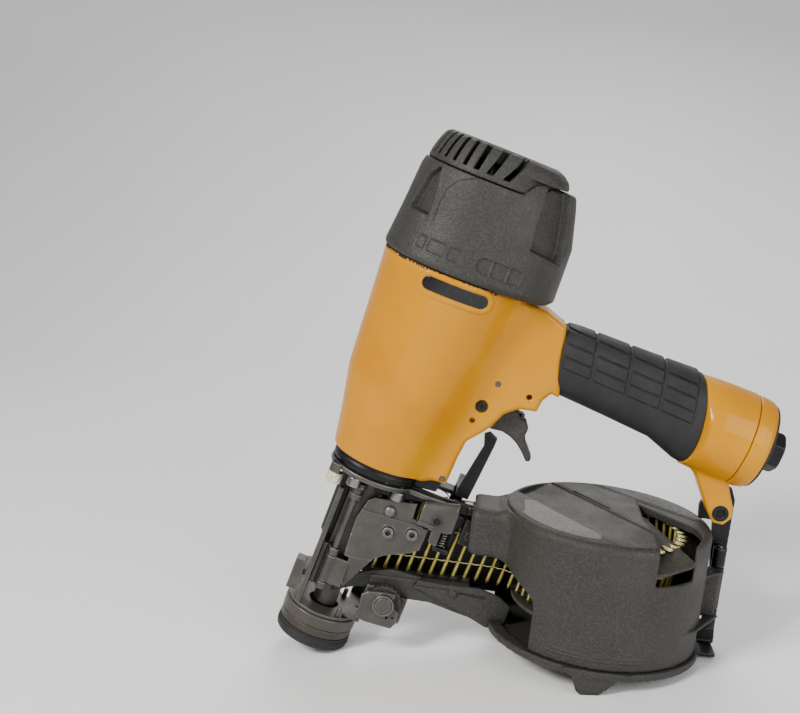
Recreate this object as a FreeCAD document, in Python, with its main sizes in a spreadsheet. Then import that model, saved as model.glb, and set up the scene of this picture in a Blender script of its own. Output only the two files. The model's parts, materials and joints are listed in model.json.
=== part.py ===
import FreeCAD, Part
import math
import os
import re
import Sketcher

# A pneumatic coil siding nailer, in millimetres.
# Tool frame: the driver axis is Z with the nose down, the handle runs along +X, the near side is -Y.
# Magazine frame: the canister axis is Z, the nail strip runs along X. It leans with the coil's 15 degrees.
# Every piece is drawn in one of these frames and placed by STAND or MAGAZINE, so that the tool
# stands on the heel of its foot and on the two tabs under the magazine, with the floor at Z = 0.

V = FreeCAD.Vector
doc = FreeCAD.newDocument("CoilNailer")

# ---------------------------------------------------------------- driving dimensions
SIZES = {
    # stance
    "lean": 22.0, "coil_angle": 15.0, "stand_x": -129.45, "stand_z": 10.2,
    "mag_x": 156.7, "mag_z": 67.8,
    # barrel and cap
    "bore_radius": 23.0, "housing_low_z": 110.5, "cap_seat_z": 238.0,

    # handle
    "handle_mid_z": 209.0, "neck_width": 31.0, "handle_width": 35.0, "core_width": 27.0,
    "slot_width": 16.0, "valve_x": 58.0, "valve_bore_radius": 8.0,

    "inlet_z": 208.5, "inlet_bore_radius": 5.6, "inlet_end_x": 214.3,
    "hex_width": 21.0,
    # driver
    "sleeve_inner": 20.0, "sleeve_outer": 22.5, "sleeve_low_z": 126.0, "sleeve_top_z": 214.0,
    "piston_radius": 19.94, "piston_low_z": 203.0, "piston_height": 10.0,
    "driver_radius": 3.2, "driver_low_z": 97.0, "driver_bore_radius": 3.7,

    # nose
    "nose_low_z": 19.5, "flange_low_z": 107.5, "flange_high_z": 110.4, "nose_near_y": -9.0,
    "nose_far_y": 10.0, "track_half": 4.3,
    "door_near_y": -16.0, "door_thick": 2.6, "door_hinge_x": -5.2, "door_hinge_y": -14.0,
    # contact arm
    "rod_x": -14.7, "rod_y": 14.0, "rod_width": 4.5, "rod_thick": 3.0,
    "rod_high_z": 96.0,
    "foot_radius": 23.0, "foot_bore_radius": 9.0,
    "dial_x": 34.1, "dial_z": 39.5, "dial_radius": 10.5,
    # nails
    "nail_length": 50.0, "nail_radius": 1.15, "nail_head_radius": 3.4, "nail_head_thick": 1.2,
    "nail_pitch": 7.0, "nail_tip_z": 18.05, "coil_radius": 47.0,
    # magazine
    "can_radius": 61.6, "can_wall": 2.4, "can_height": 72.6, "rim_radius": 64.0,
    "rim_low_z": -4.5, "platform_z": 14.0, "platform_radius": 51.0, "channel_start_x": -138.0,
    "tab_y": 59.0, "tab_thick": 4.0, "hinge_x": 68.6,
}

# outlines in the XZ plane, corner by corner
OUTLINES = {
    "barrel": [(0, 110.5), (26.5, 110.5), (28.8, 112.8), (33.3, 141.2), (38.5, 166.3),
               (41.6, 221.4), (43, 238), (0, 238)],
    "chamber": [(0, 110), (20, 110), (20, 124.8), (23, 124.8), (23, 130), (29, 143), (34.3, 166.5),
                (37, 221), (37.5, 239), (0, 239)],
    "neck": [(10, 237.8), (58.5, 237.8), (67.7, 233.7), (71, 233.8), (82.9, 193.8), (77.8, 194.2),
             (74.8, 188.7), (74.1, 181.4), (64.1, 179), (57.2, 172.8), (53.5, 163.7),
             (49.5, 157.7), (43.2, 149.6), (42.1, 139.2), (41.4, 116.7), (33, 114), (27, 113),
             (10, 120)],
    "core": [(66, 231), (162, 231), (162, 197.5), (66, 197.5)],
    "air_way": [(38, 227), (200, 227), (200, 203), (38, 203)],
    "trigger_slot": [(35.5, 112), (45, 112), (46, 139), (50, 152), (58, 162), (64, 172),
                     (78, 178), (78, 186), (54, 186), (44, 180), (39.4, 176.6), (39.3, 168),
                     (38.3, 140)],
    "rear": [(162, 0), (162, 24.6), (168, 26.6), (176, 27.5), (190.2, 27.5), (190.2, 0)],
    "lug": [(168.9, 181.5), (189.2, 162.4), (194.5, 157.6), (200.5, 158.6), (203.6, 164.5),
            (202.2, 170), (195.5, 176.5), (190, 180.6), (190, 186), (172, 186)],
    "grip": [(71.2, 233.9), (74, 235.2), (158, 236.4), (161.6, 183.6), (158, 183.4), (150, 186),
             (139.6, 190.4), (83.1, 193.9)],
    "end_cap": [(190.4, 0), (190.4, 27.5), (199, 27.1), (202.6, 24.5), (202.6, 0)],
    "end_bumper": [(202.8, 0), (202.8, 24), (204.5, 20), (204.5, 0)],
    "cap_front": [(0, 239.6), (44, 239.6), (44.4, 243), (42.2, 266), (40.6, 290), (39.2, 294.5),
                  (0, 294.5)],
    "cap_rear": [(0, 239.6), (38.6, 239.6), (41.6, 243.3), (40, 274.3), (33.4, 295.7),
                 (30.6, 303.2), (0, 303.2)],
    "cap_hollow": [(0, 239), (35.5, 239), (35.5, 262), (10, 262), (10, 286), (0, 286)],
    "deflector": [(3.3, 304), (33.5, 304), (33.5, 294.8), (38.4, 294.8), (37.2, 300), (33.4, 311),
                  (31, 313.3), (7.5, 313.3), (7.5, 309.5), (3.3, 309.5)],
    "head_valve": [(19.5, 214.4), (26, 214.4), (26, 218), (35.2, 218), (35.2, 224), (30, 224),
                   (30, 236), (12, 236), (12, 226), (19.5, 226)],
    "bumper": [(4.2, 112), (19.8, 112), (19.8, 121), (16, 124.2), (4.2, 124.2)],
    "door": [(-2, 57.4), (-0.4, 84), (2.1, 93.9), (5.5, 96.6), (30.7, 102.8), (31.2, 92.8),
             (38, 91.5), (42.5, 91.5), (42, 77.4), (22, 66), (18.2, 61.3), (8.2, 37.7), (5.5, 38)],
    "latch": [(34.5, 99.6), (35.5, 104), (53.5, 106.8), (54, 94.8), (49.5, 94), (49.5, 84.5),
              (43.6, 84.5), (43.6, 93.2), (34.8, 93.4)],
    "back_plate": [(8, 104), (8, 46), (16, 41.3), (60, 52.9), (86, 66), (86, 112), (60, 104)],
    "linkage_low": [(14, 17.2), (22, 17.2), (50, 46), (54, 60), (58, 112), (58, 118.4), (50, 118.4),
                    (50, 112), (47, 62), (43, 52), (14, 22)],
    "linkage_high": [(50, 113.2), (58, 113.2), (60.5, 150), (60.5, 155), (55, 157.4), (52, 155),
                     (54.5, 148), (50, 118.4)],
    "trigger": [(40.4, 175.2), (46, 178.4), (54, 180), (74, 179.5), (77.5, 170), (79.4, 166.5),
                (77.8, 163), (78.6, 157), (82.6, 152), (82, 148.6), (79, 148), (73.6, 155),
                (70, 163.5), (63, 168.5), (56, 170), (46, 169.2), (40.4, 170.4)],
    "trigger_lever": [(52.5, 176), (70, 172.4), (70, 174.6), (52.5, 178.2)],
    # magazine frame
    "rail": [(-137, 17.7), (-121.5, 17.9), (-76, 17.9), (-76, 3.6), (-84, 0.6), (-99.4, 4.6),
             (-114.8, 4.8), (-136, 8.2)],
    "keel": [(-84, 0.6), (-76, 3.6), (-58, 3.6), (-50, -0.1), (-50, -4.5), (-62, -4.5)],
    "tab": [(-21, -0.2), (-15, -4.5), (-11.4, -13.2), (-8.6, -15.2), (1.6, -13.95), (4.4, -11.6),
            (11, -4.5), (18, -0.2)],
    "bracket": [(62.6, 74.4), (54.2, 74.4), (53.4, 83), (57, 91), (64, 96.5), (71, 95.5), (74, 88),
                (73.5, 20), (75, -2.8), (71.5, -4.5), (64.2, -4.5), (64.2, 1), (66, 5), (66, 40)],
}


def fill_sheet():
    """One row for each size, and one for each outline coordinate, all with aliases."""
    sheet = doc.addObject("Spreadsheet::Sheet", "Params")
    cells = dict(SIZES)
    for name, corners in OUTLINES.items():
        for number, (first, second) in enumerate(corners, 1):
            cells[f"{name}_x{number}"] = first
            cells[f"{name}_z{number}"] = second
    for row, (alias, size) in enumerate(cells.items(), 1):
        sheet.set(f"A{row}", alias)
        sheet.set(f"B{row}", str(size))
        sheet.setAlias(f"B{row}", alias)
    doc.recompute()
    return cells


CELLS = fill_sheet()


def linked(text):
    """A formula in sheet aliases, with each alias pointed at the sheet."""
    return re.sub(r"\b[a-z][a-z_0-9]*\b(?!\()", lambda word: "Params." + word.group(0), str(text))


def bind(thing, **formulas):
    """Bind properties to sheet formulas: a double underscore stands for a dot."""
    for prop, formula in formulas.items():
        thing.setExpression(prop.replace("__", "."), linked(formula))


TILT = FreeCAD.Rotation(V(0, 1, 0), SIZES["lean"])
STAND = FreeCAD.Placement(V(SIZES["stand_x"], 0, SIZES["stand_z"]), TILT)
MAGAZINE = STAND * FreeCAD.Placement(
    V(SIZES["mag_x"], 0, SIZES["mag_z"]),
    FreeCAD.Rotation(V(0, 1, 0), -SIZES["coil_angle"]))

subparts = []


def finish(thing, label, frame=None):
    """Name a sub-part and stand it in its place. A bare primitive keeps its own place in a group."""
    if thing.TypeId in ("Part::Cylinder", "Part::Box", "Part::Prism"):
        thing = group(label + "_piece", [thing])
    thing.Label = label
    thing.Placement = frame or STAND
    subparts.append(thing)
    return thing


# ---------------------------------------------------------------- sketch-based pieces
def loose_body(label):
    """A body that goes into another piece, and isn't a sub-part of its own."""
    return doc.addObject("PartDesign::Body", label + "_body")


def body(label, frame=None):
    return finish(loose_body(label), label, frame)


def plane_of(owner, role):
    for feature in owner.Origin.OriginFeatures:
        if feature.Role == role:
            return feature
    raise ValueError(role)


def sketch_on(owner, role, name, offset=None):
    sketch = owner.newObject("Sketcher::SketchObject", name)
    sketch.AttachmentSupport = [(plane_of(owner, role), "")]
    sketch.MapMode = "FlatFace"
    if offset is not None:
        bind(sketch, AttachmentOffset__Base__z=offset)
    return sketch


def polygon(owner, outline, offset=None, rise=None):
    """A closed outline in the XZ plane, each corner bound to its two cells."""
    corners = OUTLINES[outline]
    sketch = sketch_on(owner, "XZ_Plane", outline + "_outline", offset)
    if rise is not None:
        bind(sketch, AttachmentOffset__Base__y=rise)
    count = len(corners)
    for number in range(count):
        start = V(*corners[number], 0)
        stop = V(*corners[(number + 1) % count], 0)
        sketch.addGeometry(Part.LineSegment(start, stop), False)
    for number in range(count):
        sketch.addConstraint(Sketcher.Constraint("Coincident", number, 2, (number + 1) % count, 1))
    for number, (first, second) in enumerate(corners):
        across = sketch.addConstraint(Sketcher.Constraint("DistanceX", -1, 1, number, 1, first))
        along = sketch.addConstraint(Sketcher.Constraint("DistanceY", -1, 1, number, 1, second))
        sketch.setExpression(f"Constraints[{across}]", f"Params.{outline}_x{number + 1}")
        sketch.setExpression(f"Constraints[{along}]", f"Params.{outline}_z{number + 1}")
    return sketch


def circles(owner, role, name, places, offset=None):
    """Circles in one sketch. Each place is two coordinates and a radius, as formulas."""
    sketch = sketch_on(owner, role, name, offset)
    for number, (first, second, radius) in enumerate(places):
        sketch.addGeometry(Part.Circle(V(number * 9.0, 0, 0), V(0, 0, 1), 2.0), False)
        for kind, value in (("DistanceX", first), ("DistanceY", second)):
            index = sketch.addConstraint(Sketcher.Constraint(kind, -1, 1, number, 3, 1.0))
            sketch.setExpression(f"Constraints[{index}]", linked(value))
        index = sketch.addConstraint(Sketcher.Constraint("Radius", number, 2.0))
        sketch.setExpression(f"Constraints[{index}]", linked(radius))
    return sketch


def feature(owner, kind, name, sketch, **formulas):
    made = owner.newObject("PartDesign::" + kind, name)
    made.Profile = sketch
    bind(made, **formulas)
    return made


def spun(owner, outline, kind="Revolution", axis="V_Axis", rise=None):
    """A turned feature about the sketch's own vertical or horizontal axis."""
    sketch = polygon(owner, outline, rise=rise)
    made = feature(owner, kind, outline + "_turned", sketch)
    made.ReferenceAxis = (sketch, [axis])
    made.Angle = 360.0
    return made


def slab(owner, outline, width, kind="Pad"):
    """A flat feature that is as wide on both sides of the tool's middle plane."""
    made = feature(owner, kind, outline + "_slab", polygon(owner, outline), Length=width)
    made.SideType = "Symmetric"
    return made


def rounded(owner, base, radius, wanted):
    """A fillet on those edges of the last feature that the test picks."""
    doc.recompute()
    names = [f"Edge{i + 1}" for i, edge in enumerate(base.Shape.Edges) if wanted(edge)]
    fillet = owner.newObject("PartDesign::Fillet", base.Name + "_round")
    fillet.Base = (base, names)
    bind(fillet, Radius=radius)
    doc.recompute()
    return fillet


def plate(label, outline, near, far, holes=(), loose=True):
    """A flat piece between two Y planes, with round holes through it."""
    piece = loose_body(label) if loose else body(label)
    feature(piece, "Pad", outline + "_pad", polygon(piece, outline, f"-({far})"),
            Length=f"({far}) - ({near})")
    if holes:
        cut = feature(piece, "Pocket", outline + "_holes",
                      circles(piece, "XZ_Plane", outline + "_circles", holes))
        cut.Type = "ThroughAll"
        cut.SideType = "Symmetric"
    return piece


# ---------------------------------------------------------------- pieces from primitives
AXES = {"x": FreeCAD.Rotation(V(0, 1, 0), 90), "y": FreeCAD.Rotation(V(1, 0, 0), -90),
        "z": FreeCAD.Rotation()}


def place(thing, at, axis="z"):
    thing.Placement = FreeCAD.Placement(V(), AXES[axis])
    bind(thing, Placement__Base__x=at[0], Placement__Base__y=at[1], Placement__Base__z=at[2])
    return thing


def rod(name, radius, length, at, axis="z"):
    thing = doc.addObject("Part::Cylinder", name)
    bind(thing, Radius=radius, Height=length)
    return place(thing, at, axis)


def block(name, size, at):
    thing = doc.addObject("Part::Box", name)
    bind(thing, Length=size[0], Width=size[1], Height=size[2])
    return place(thing, at)


def still_block(name, size):
    """A block of plain size, for a cutter that is turned into place."""
    thing = doc.addObject("Part::Box", name)
    thing.Length, thing.Width, thing.Height = size
    return thing


def hexagon(name, across_flats, length, at, axis="z"):
    thing = doc.addObject("Part::Prism", name)
    thing.Polygon = 6
    bind(thing, Circumradius=f"({across_flats}) / 1.7320508", Height=length)
    return place(thing, at, axis)


def joined(name, things):
    if len(things) == 1:
        return things[0]
    thing = doc.addObject("Part::MultiFuse", name)
    thing.Shapes = things
    return thing


def less(name, base, tools):
    thing = doc.addObject("Part::Cut", name)
    thing.Base = base
    thing.Tool = joined(name + "_tools", tools)
    return thing


def group(name, things):
    thing = doc.addObject("Part::Compound", name)
    thing.Links = things
    return thing


def ring(name, outer, inner, length, at, axis="z"):
    """A plain tube."""
    return less(name, rod(name + "_outer", outer, length, at, axis),
                [rod(name + "_inner", inner, length, at, axis)])


def socket_screw(name, at, shank, length, head, head_length, axis="z", up=1):
    """A cap screw. Its head begins at the given point and its shank runs on from there."""
    step = {"x": 0, "y": 1, "z": 2}[axis]

    def moved(amount):
        spot = [f"({value})" for value in at]
        spot[step] += f" + ({amount})"
        return spot

    if up > 0:
        head_at, shank_at, key_at = moved(f"-({head_length})"), moved("0"), moved(f"-({head_length})")
    else:
        head_at, shank_at, key_at = moved("0"), moved(f"-({length})"), moved(f"({head_length}) * 0.45")
    solid = joined(name + "_solid", [rod(name + "_head", head, head_length, head_at, axis),
                                     rod(name + "_shank", shank, length, shank_at, axis)])
    key = hexagon(name + "_key", f"({head}) * 1.05", f"({head_length}) * 0.55", key_at, axis)
    return less(name, solid, [key])


def spring(label, radius, wire, length, turns, at, axis="z", frame=None):
    """A helical compression spring, swept along its helix."""
    helix = Part.makeHelix(length / turns, length, radius)
    profile = Part.Wire([Part.makeCircle(wire, V(radius, 0, 0), V(0, 1, 0))])
    coil = Part.Wire(helix.Edges).makePipeShell([profile], True, True)
    coil.Placement = FreeCAD.Placement(V(*at), AXES[axis])
    thing = doc.addObject("Part::Feature", label + "_coil")
    thing.Shape = Part.makeCompound([coil]) if not coil.Solids else coil.copy()
    carrier = group(label + "_set", [thing])
    return finish(carrier, label, frame)


# ================================================================ housing
housing = body("main_housing")
spun(housing, "barrel")
neck = slab(housing, "neck", "neck_width")
core = slab(housing, "core", "core_width")
spun(housing, "rear", axis="H_Axis", rise="handle_mid_z")
slab(housing, "lug", "neck_width / 2 - 4")
spun(housing, "chamber", "Groove")
slab(housing, "air_way", "core_width - 8", "Pocket")
slab(housing, "trigger_slot", "slot_width", "Pocket")
doc.recompute()
valve_bore = feature(housing, "Pocket", "valve_bore",
                     circles(housing, "XY_Plane", "valve_circle",
                             [("valve_x", "0", "valve_bore_radius")], "handle_mid_z"),
                     Length="35")
pin_holes = feature(housing, "Pocket", "pin_holes",
                    circles(housing, "XZ_Plane", "pin_circles",
                            [("43.4", "172.8", "2"), ("66.8", "188", "1.6"),
                             ("47.4", "188.5", "1.6"), ("38.4", "123.4", "1.6"),
                             ("196", "164.8", "3.1")]))
pin_holes.Type = "ThroughAll"
pin_holes.SideType = "Symmetric"
screw_holes = feature(housing, "Pocket", "nose_screw_holes",
                      circles(housing, "XY_Plane", "nose_screw_circles",
                              [("17.5", "17.5", "2.1"), ("17.5", "-17.5", "2.1"),
                               ("-9", "22.6", "2.1"), ("-9", "-22.6", "2.1")],
                              "housing_low_z - 1"),
                      Length="13")
screw_holes.Reversed = True
cap_holes = feature(housing, "Pocket", "cap_screw_holes",
                    circles(housing, "XY_Plane", "cap_screw_circles",
                            [("28.5", "28.5", "1.7"), ("28.5", "-28.5", "1.7"),
                             ("-28.5", "28.5", "1.7"), ("-28.5", "-28.5", "1.7")],
                            "cap_seat_z + 1"),
                    Length="15")

grip_block = loose_body("grip_block")
grip_pad = slab(grip_block, "grip", "handle_width")
rounded(grip_block, grip_pad, "10",
        lambda edge: edge.Length > 50 and abs(edge.tangentAt(edge.FirstParameter).x) > 0.9)
finish(less("grip_sleeve", grip_block,
            [block("grip_bore", ("110", "core_width + 0.1", "33.6"),
                   ("60", "-(core_width + 0.1) / 2", "197.45"))]), "handle_grip")

end_cap_body = loose_body("end_cap_solid")
spun(end_cap_body, "end_cap", axis="H_Axis", rise="handle_mid_z")
finish(less("end_cap_bored", end_cap_body,
            [rod("end_cap_bore", "9", "30", ("185", "0", "inlet_z"), "x"),
             rod("end_cap_room", "22", "8", ("189", "0", "handle_mid_z"), "x")]), "rear_end_cap")

end_bumper_body = loose_body("end_bumper_solid")
spun(end_bumper_body, "end_bumper", axis="H_Axis", rise="handle_mid_z")
finish(less("end_bumper_bored", end_bumper_body,
            [rod("end_bumper_bore", "9", "30", ("185", "0", "inlet_z"), "x")]), "end_bumper")

finish(less("inlet", joined("inlet_solid", [
    rod("inlet_shank", "9", "13", ("192", "0", "inlet_z"), "x"),
    hexagon("inlet_hex", "hex_width", "inlet_end_x - 204.6", ("204.6", "0", "inlet_z"), "x")]),
    [rod("inlet_bore", "inlet_bore_radius", "40", ("190", "0", "inlet_z"), "x")]),
    "air_inlet_bushing")

CORNERS = [(-28.5, -28.5), (-28.5, 28.5), (28.5, -28.5), (28.5, 28.5)]
finish(less("cap_gasket_cut", ring("cap_gasket_ring", "42.5", "37.5", "1.3", ("0", "0", "238.1")),
            [rod(f"cap_gasket_hole_{n}", "1.7", "4", (f"{x}", f"{y}", "237"))
             for n, (x, y) in enumerate(CORNERS)]), "cap_gasket")

# ================================================================ engine cap and deflector
cap_front = loose_body("cap_front_solid")
spun(cap_front, "cap_front")
cap_rear = loose_body("cap_rear_solid")
spun(cap_rear, "cap_rear")
bind(cap_rear, Placement__Base__x="18")
cap_hollow = loose_body("cap_hollow_solid")
spun(cap_hollow, "cap_hollow")
corner_pockets = [rod(f"cap_pocket_{n}", "4.6", "46", (f"{x}", f"{y}", "250"))
                  for n, (x, y) in enumerate(CORNERS)]
corner_shanks = [rod(f"cap_shank_{n}", "1.75", "12", (f"{x}", f"{y}", "239"))
                 for n, (x, y) in enumerate(CORNERS)]
finish(less("cap_cut", joined("cap_solid", [cap_front, cap_rear]),
            [cap_hollow, rod("deflector_seat", "39", "20", ("0", "0", "294.5")),
             rod("cap_screw_thread", "3", "20", ("0", "0", "280"))]
            + corner_pockets + corner_shanks), "engine_cap")
finish(group("cap_screw_set", [
    socket_screw(f"cap_screw_{n}", (f"{x}", f"{y}", "250.1"), "1.65", "24", "3.4", "4", up=-1)
    for n, (x, y) in enumerate(CORNERS)]), "cap_screws")

deflector = loose_body("deflector_solid")
spun(deflector, "deflector")
slots = [still_block(f"deflector_slot_{n}", (16, 3.2, 12)) for n in range(9)]
for number, slot in enumerate(slots):
    turn = FreeCAD.Rotation(V(0, 0, 1), 178 + 19 * number)
    slot.Placement = FreeCAD.Placement(turn.multVec(V(25, -1.6, 300.5)), turn)
lobe = rod("deflector_lobe", "22", "5.4", ("20.9", "0", "303.7"))
hollow_under_lobe = rod("deflector_hollow", "33.4", "9", ("0", "0", "294.9"))
finish(less("deflector_cut", joined("deflector_whole", [deflector, lobe]),
            slots + [hollow_under_lobe, rod("deflector_bore", "3.3", "20", ("0", "0", "300")),
                     rod("deflector_counterbore", "7.5", "6", ("0", "0", "309.5"))]),
       "exhaust_deflector")
finish(socket_screw("deflector_bolt", ("0", "0", "309.7"), "2.95", "24", "6.8", "3.2", up=-1),
       "deflector_screw")

# ================================================================ air motor inside the housing
finish(less("sleeve_cut", joined("sleeve_solid", [
    rod("sleeve_tube", "sleeve_outer", "sleeve_top_z - sleeve_low_z", ("0", "0", "sleeve_low_z")),
    rod("sleeve_flange", "26", "4", ("0", "0", "sleeve_top_z - 4"))]),
    [rod("sleeve_bore", "sleeve_inner", "100", ("0", "0", "sleeve_low_z - 5"))]),
    "cylinder_sleeve")
finish(group("seal_set", [
    ring("seal_low", "bore_radius", "sleeve_outer", "2", ("0", "0", "127")),
    ring("seal_mid", "sleeve_outer + 3", "sleeve_outer", "2", ("0", "0", "160"))]),
    "cylinder_seals")
spun(body("head_valve"), "head_valve")
spun(body("piston_bumper"), "bumper")
finish(less("piston_cut", joined("piston_solid", [
    rod("piston_disc", "piston_radius", "piston_height", ("0", "0", "piston_low_z")),
    rod("piston_boss", "8", "6", ("0", "0", "piston_low_z - 2"))]),
    [ring("piston_groove", "21", "17.4", "3", ("0", "0", "piston_low_z + 3.5")),
     rod("piston_socket", "driver_radius", "12", ("0", "0", "piston_low_z - 3"))]), "piston")
finish(ring("piston_ring_tube", "piston_radius + 0.02", "17.5", "2.8",
            ("0", "0", "piston_low_z + 3.6")), "piston_ring")
finish(rod("driver_rod", "driver_radius", "piston_low_z + 9 - driver_low_z",
           ("0", "0", "driver_low_z")), "driver_blade")

# ================================================================ nose
flange = joined("nose_flange", [
    rod("flange_disc", "28", "flange_high_z - flange_low_z", ("0", "0", "flange_low_z")),
    block("flange_ear", ("20", "30", "flange_high_z - flange_low_z"), ("10", "-15", "flange_low_z")),
    block("spring_ear", ("38", "12.5", "flange_high_z - flange_low_z"), ("12", "15", "flange_low_z")),
    block("latch_ear", ("39", "10.8", "flange_high_z - flange_low_z"), ("10", "-15", "flange_low_z")),
    rod("flange_spigot", "19.9", "1.5", ("0", "0", "flange_high_z"))])
guide = joined("nose_guide", [
    block("guide_block", ("18", "nose_far_y - nose_near_y", "flange_low_z - nose_low_z"),
          ("-10", "nose_near_y", "nose_low_z")),
    block("guide_shoulder", ("17.8", "2.4", "12"), ("-10", "nose_far_y - 0.5", "95.6"))])
finish(less("nose_cut", joined("nose_solid", [flange, guide]),
            [rod("driver_bore", "driver_bore_radius", "120", ("0", "0", "nose_low_z - 5")),
             block("nail_track", ("20", "track_half * 2", "57.6"), ("0", "-track_half", "40")),
             ring("nose_tip_turn", "30", "7.5", "17", ("0", "0", "nose_low_z - 1"))]
            + [rod(f"flange_hole_{n}", "2.6", "10", (f"{x}", f"{y}", "flange_low_z - 1"))
               for n, (x, y) in enumerate([(17.5, 17.5), (17.5, -17.5), (-9, 22.6), (-9, -22.6)])]),
       "nose_casting")
finish(group("nose_screw_set", [
    socket_screw(f"nose_screw_{n}", (f"{x}", f"{y}", "flange_low_z"), "2.05", "14", "4.4", "5.4")
    for n, (x, y) in enumerate([(17.5, 17.5), (17.5, -17.5), (-9, 22.6), (-9, -22.6)])]),
    "nose_screws")
finish(group("rod_stop_set", [
    rod(f"rod_stop_{n}", "4.8", "6.6", ("-21.4", f"{y}", "98")) for n, y in enumerate((-17, 17))]),
    "rod_stops")
finish(group("rod_guide_set", [
    less(f"rod_guide_{n}", rod(f"rod_guide_disc_{n}", "4.4", "5.6", ("-21.4", f"{y}", "104.7")),
         [rod(f"rod_guide_clear_{n}", "28.05", "8", ("0", "0", "104"))])
    for n, y in enumerate((-17, 17))]), "rod_guides")

# ---------------------------------------------------------------- nose door and its latch
finish(less("door_cut", joined("door_solid", [
    plate("door_plate", "door", "door_near_y", "door_near_y + door_thick"),
    rod("door_knuckle", "3.2", "17.6", ("door_hinge_x", "door_hinge_y", "36.6")),
    block("door_leaf", ("10", "2.6", "17.6"), ("door_hinge_x", "door_near_y", "36.6"))]),
    [rod("door_pin_hole", "1.65", "30", ("door_hinge_x", "door_hinge_y", "30"))]), "nose_door")
finish(group("door_screw_set", [
    less(f"door_screw_{n}", rod(f"door_screw_head_{n}", "3.4", "2.4",
                                (f"{x}", "door_near_y - 2.45", f"{z}"), "y"),
         [hexagon(f"door_screw_key_{n}", "3.2", "1.8", (f"{x}", "door_near_y - 2.5", f"{z}"), "y")])
    for n, (x, z) in enumerate([(20.6, 81), (34.4, 85.2)])]
    + [rod("door_rivet_head", "3.6", "1.6", ("17.2", "door_near_y - 1.65", "93.3"), "y")]),
    "door_screws")
hinge_lugs = [ring(f"door_lug_{n}", "3.2", "1.6", "4.4", ("door_hinge_x", "door_hinge_y", f"{z}"))
              for n, z in enumerate((31.9, 54.5))]
lug_webs = [less(f"door_web_{n}", block(f"door_web_block_{n}", ("4.4", "4.4", "4.4"),
                                        ("-8.8", "-13.4", f"{z}")),
                 [rod(f"door_web_clear_{n}", "3.1", "10", ("door_hinge_x", "door_hinge_y", "30")),
                  rod(f"door_web_far_{n}", "3.1", "10", ("door_hinge_x", "door_hinge_y", "50"))])
            for n, z in enumerate((31.9, 54.5))]
finish(joined("door_hinge_solid", hinge_lugs + lug_webs
              + [block("door_hinge_bar", ("2.6", "3.4", "27"), ("-12.8", "-12.4", "31.9")),
                 block("door_hinge_tie", ("5.2", "2.3", "27"), ("-12.8", "-11.3", "31.9"))]),
       "door_hinge_lugs")
finish(rod("door_pin_rod", "1.58", "27.6", ("door_hinge_x", "door_hinge_y", "31.6")),
       "door_hinge_pin")

plate("door_latch", "latch", "door_near_y - 3.4", "door_near_y - 0.6",
      holes=[("44.5", "100", "1.65")], loose=False)
finish(joined("latch_post_solid", [
    block("latch_post_block", ("9", "11.4", "12"), ("40", "-15.6", "95.4")),
    block("latch_post_bar", ("12.4", "3.4", "6"), ("48.5", "-8", "97")),
    block("latch_spring_drop", ("2", "3.4", "18"), ("56", "-8", "80.8")),
    block("latch_spring_seat", ("9.4", "11.4", "2.6"), ("48.6", "-16", "80.8")),
    rod("latch_pin_rod", "1.6", "16", ("44.5", "-20.6", "100"), "y"),
    rod("latch_pin_head", "2.8", "1.2", ("44.5", "-21.4", "100"), "y")]), "latch_post")
spring("latch_spring", 2.6, 0.5, 8.2, 5, (52.2, -13.4, 84.0))

# ================================================================ contact arm
pin_places = [("11", "15.5"), ("11", "-15.5")]
finish(less("foot_cut", joined("foot_solid", [
    rod("foot_upper", "foot_radius", "6.6", ("0", "0", "10.3")),
    rod("foot_lower", "foot_radius - 0.6", "6", ("0", "0", "4.3"))]
    + [rod(f"foot_pin_{n}", "1.5", "8.6", (x, y, "16.5")) for n, (x, y) in enumerate(pin_places)]),
    [rod("foot_bore", "foot_bore_radius", "30", ("0", "0", "0"))]), "contact_foot")
rods = [block(f"contact_rod_{n}", ("rod_thick", "rod_width", "rod_high_z - 18"),
              ("rod_x - rod_thick / 2", f"{side} * rod_y - rod_width / 2", "18"))
        for n, side in enumerate((-1, 1))]
finish(less("yoke_cut", joined("yoke_solid", [
    rod("yoke_disc", "foot_radius - 1", "2", ("0", "0", "17.2")),
    block("yoke_arm", ("8", "18", "2"), ("14", "10", "17.2"))] + rods),
    [rod("yoke_bore", "foot_bore_radius + 0.3", "5", ("0", "0", "16"))]
    + [rod(f"yoke_pin_hole_{n}", "1.56", "5", (x, y, "16")) for n, (x, y) in enumerate(pin_places)]),
       "contact_rods")
pad_solid = less("pad_solid", rod("pad_disc", "foot_radius", "7.2", ("0", "0", "-3")),
                 [rod("pad_bore", "foot_bore_radius", "12", ("0", "0", "-5")),
                  ring("pad_groove", "foot_radius + 2", "foot_radius - 0.9", "1.2",
                       ("0", "0", "1.8"))])
floor_block = still_block("pad_floor", (140, 80, 20))
floor_block.Placement = STAND.inverse() * FreeCAD.Placement(V(-200, -40, -20), FreeCAD.Rotation())
finish(less("pad_cut", pad_solid, [floor_block]), "foot_pad")
finish(joined("rod_tie_solid", [
    block("rod_tie_bar", ("2.4", "32.5", "6"), ("-18.8", "-16.25", "30")),
    block("rod_tie_box", ("6.5", "9", "20"), ("-24.6", "-16.25", "25"))]), "rod_tie")
linkage_low = plate("linkage_low_solid", "linkage_low", "28", "30.6")
linkage_high = plate("linkage_high_solid", "linkage_high", "-1.6", "1.6")
finish(joined("linkage_solid", [
    linkage_low, linkage_high,
    block("linkage_bridge", ("8", "32.2", "5.2"), ("50", "-1.6", "113.2")),
    block("linkage_shelf", ("8", "6.7", "2"), ("42", "21.5", "68"))]), "contact_linkage")
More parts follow.
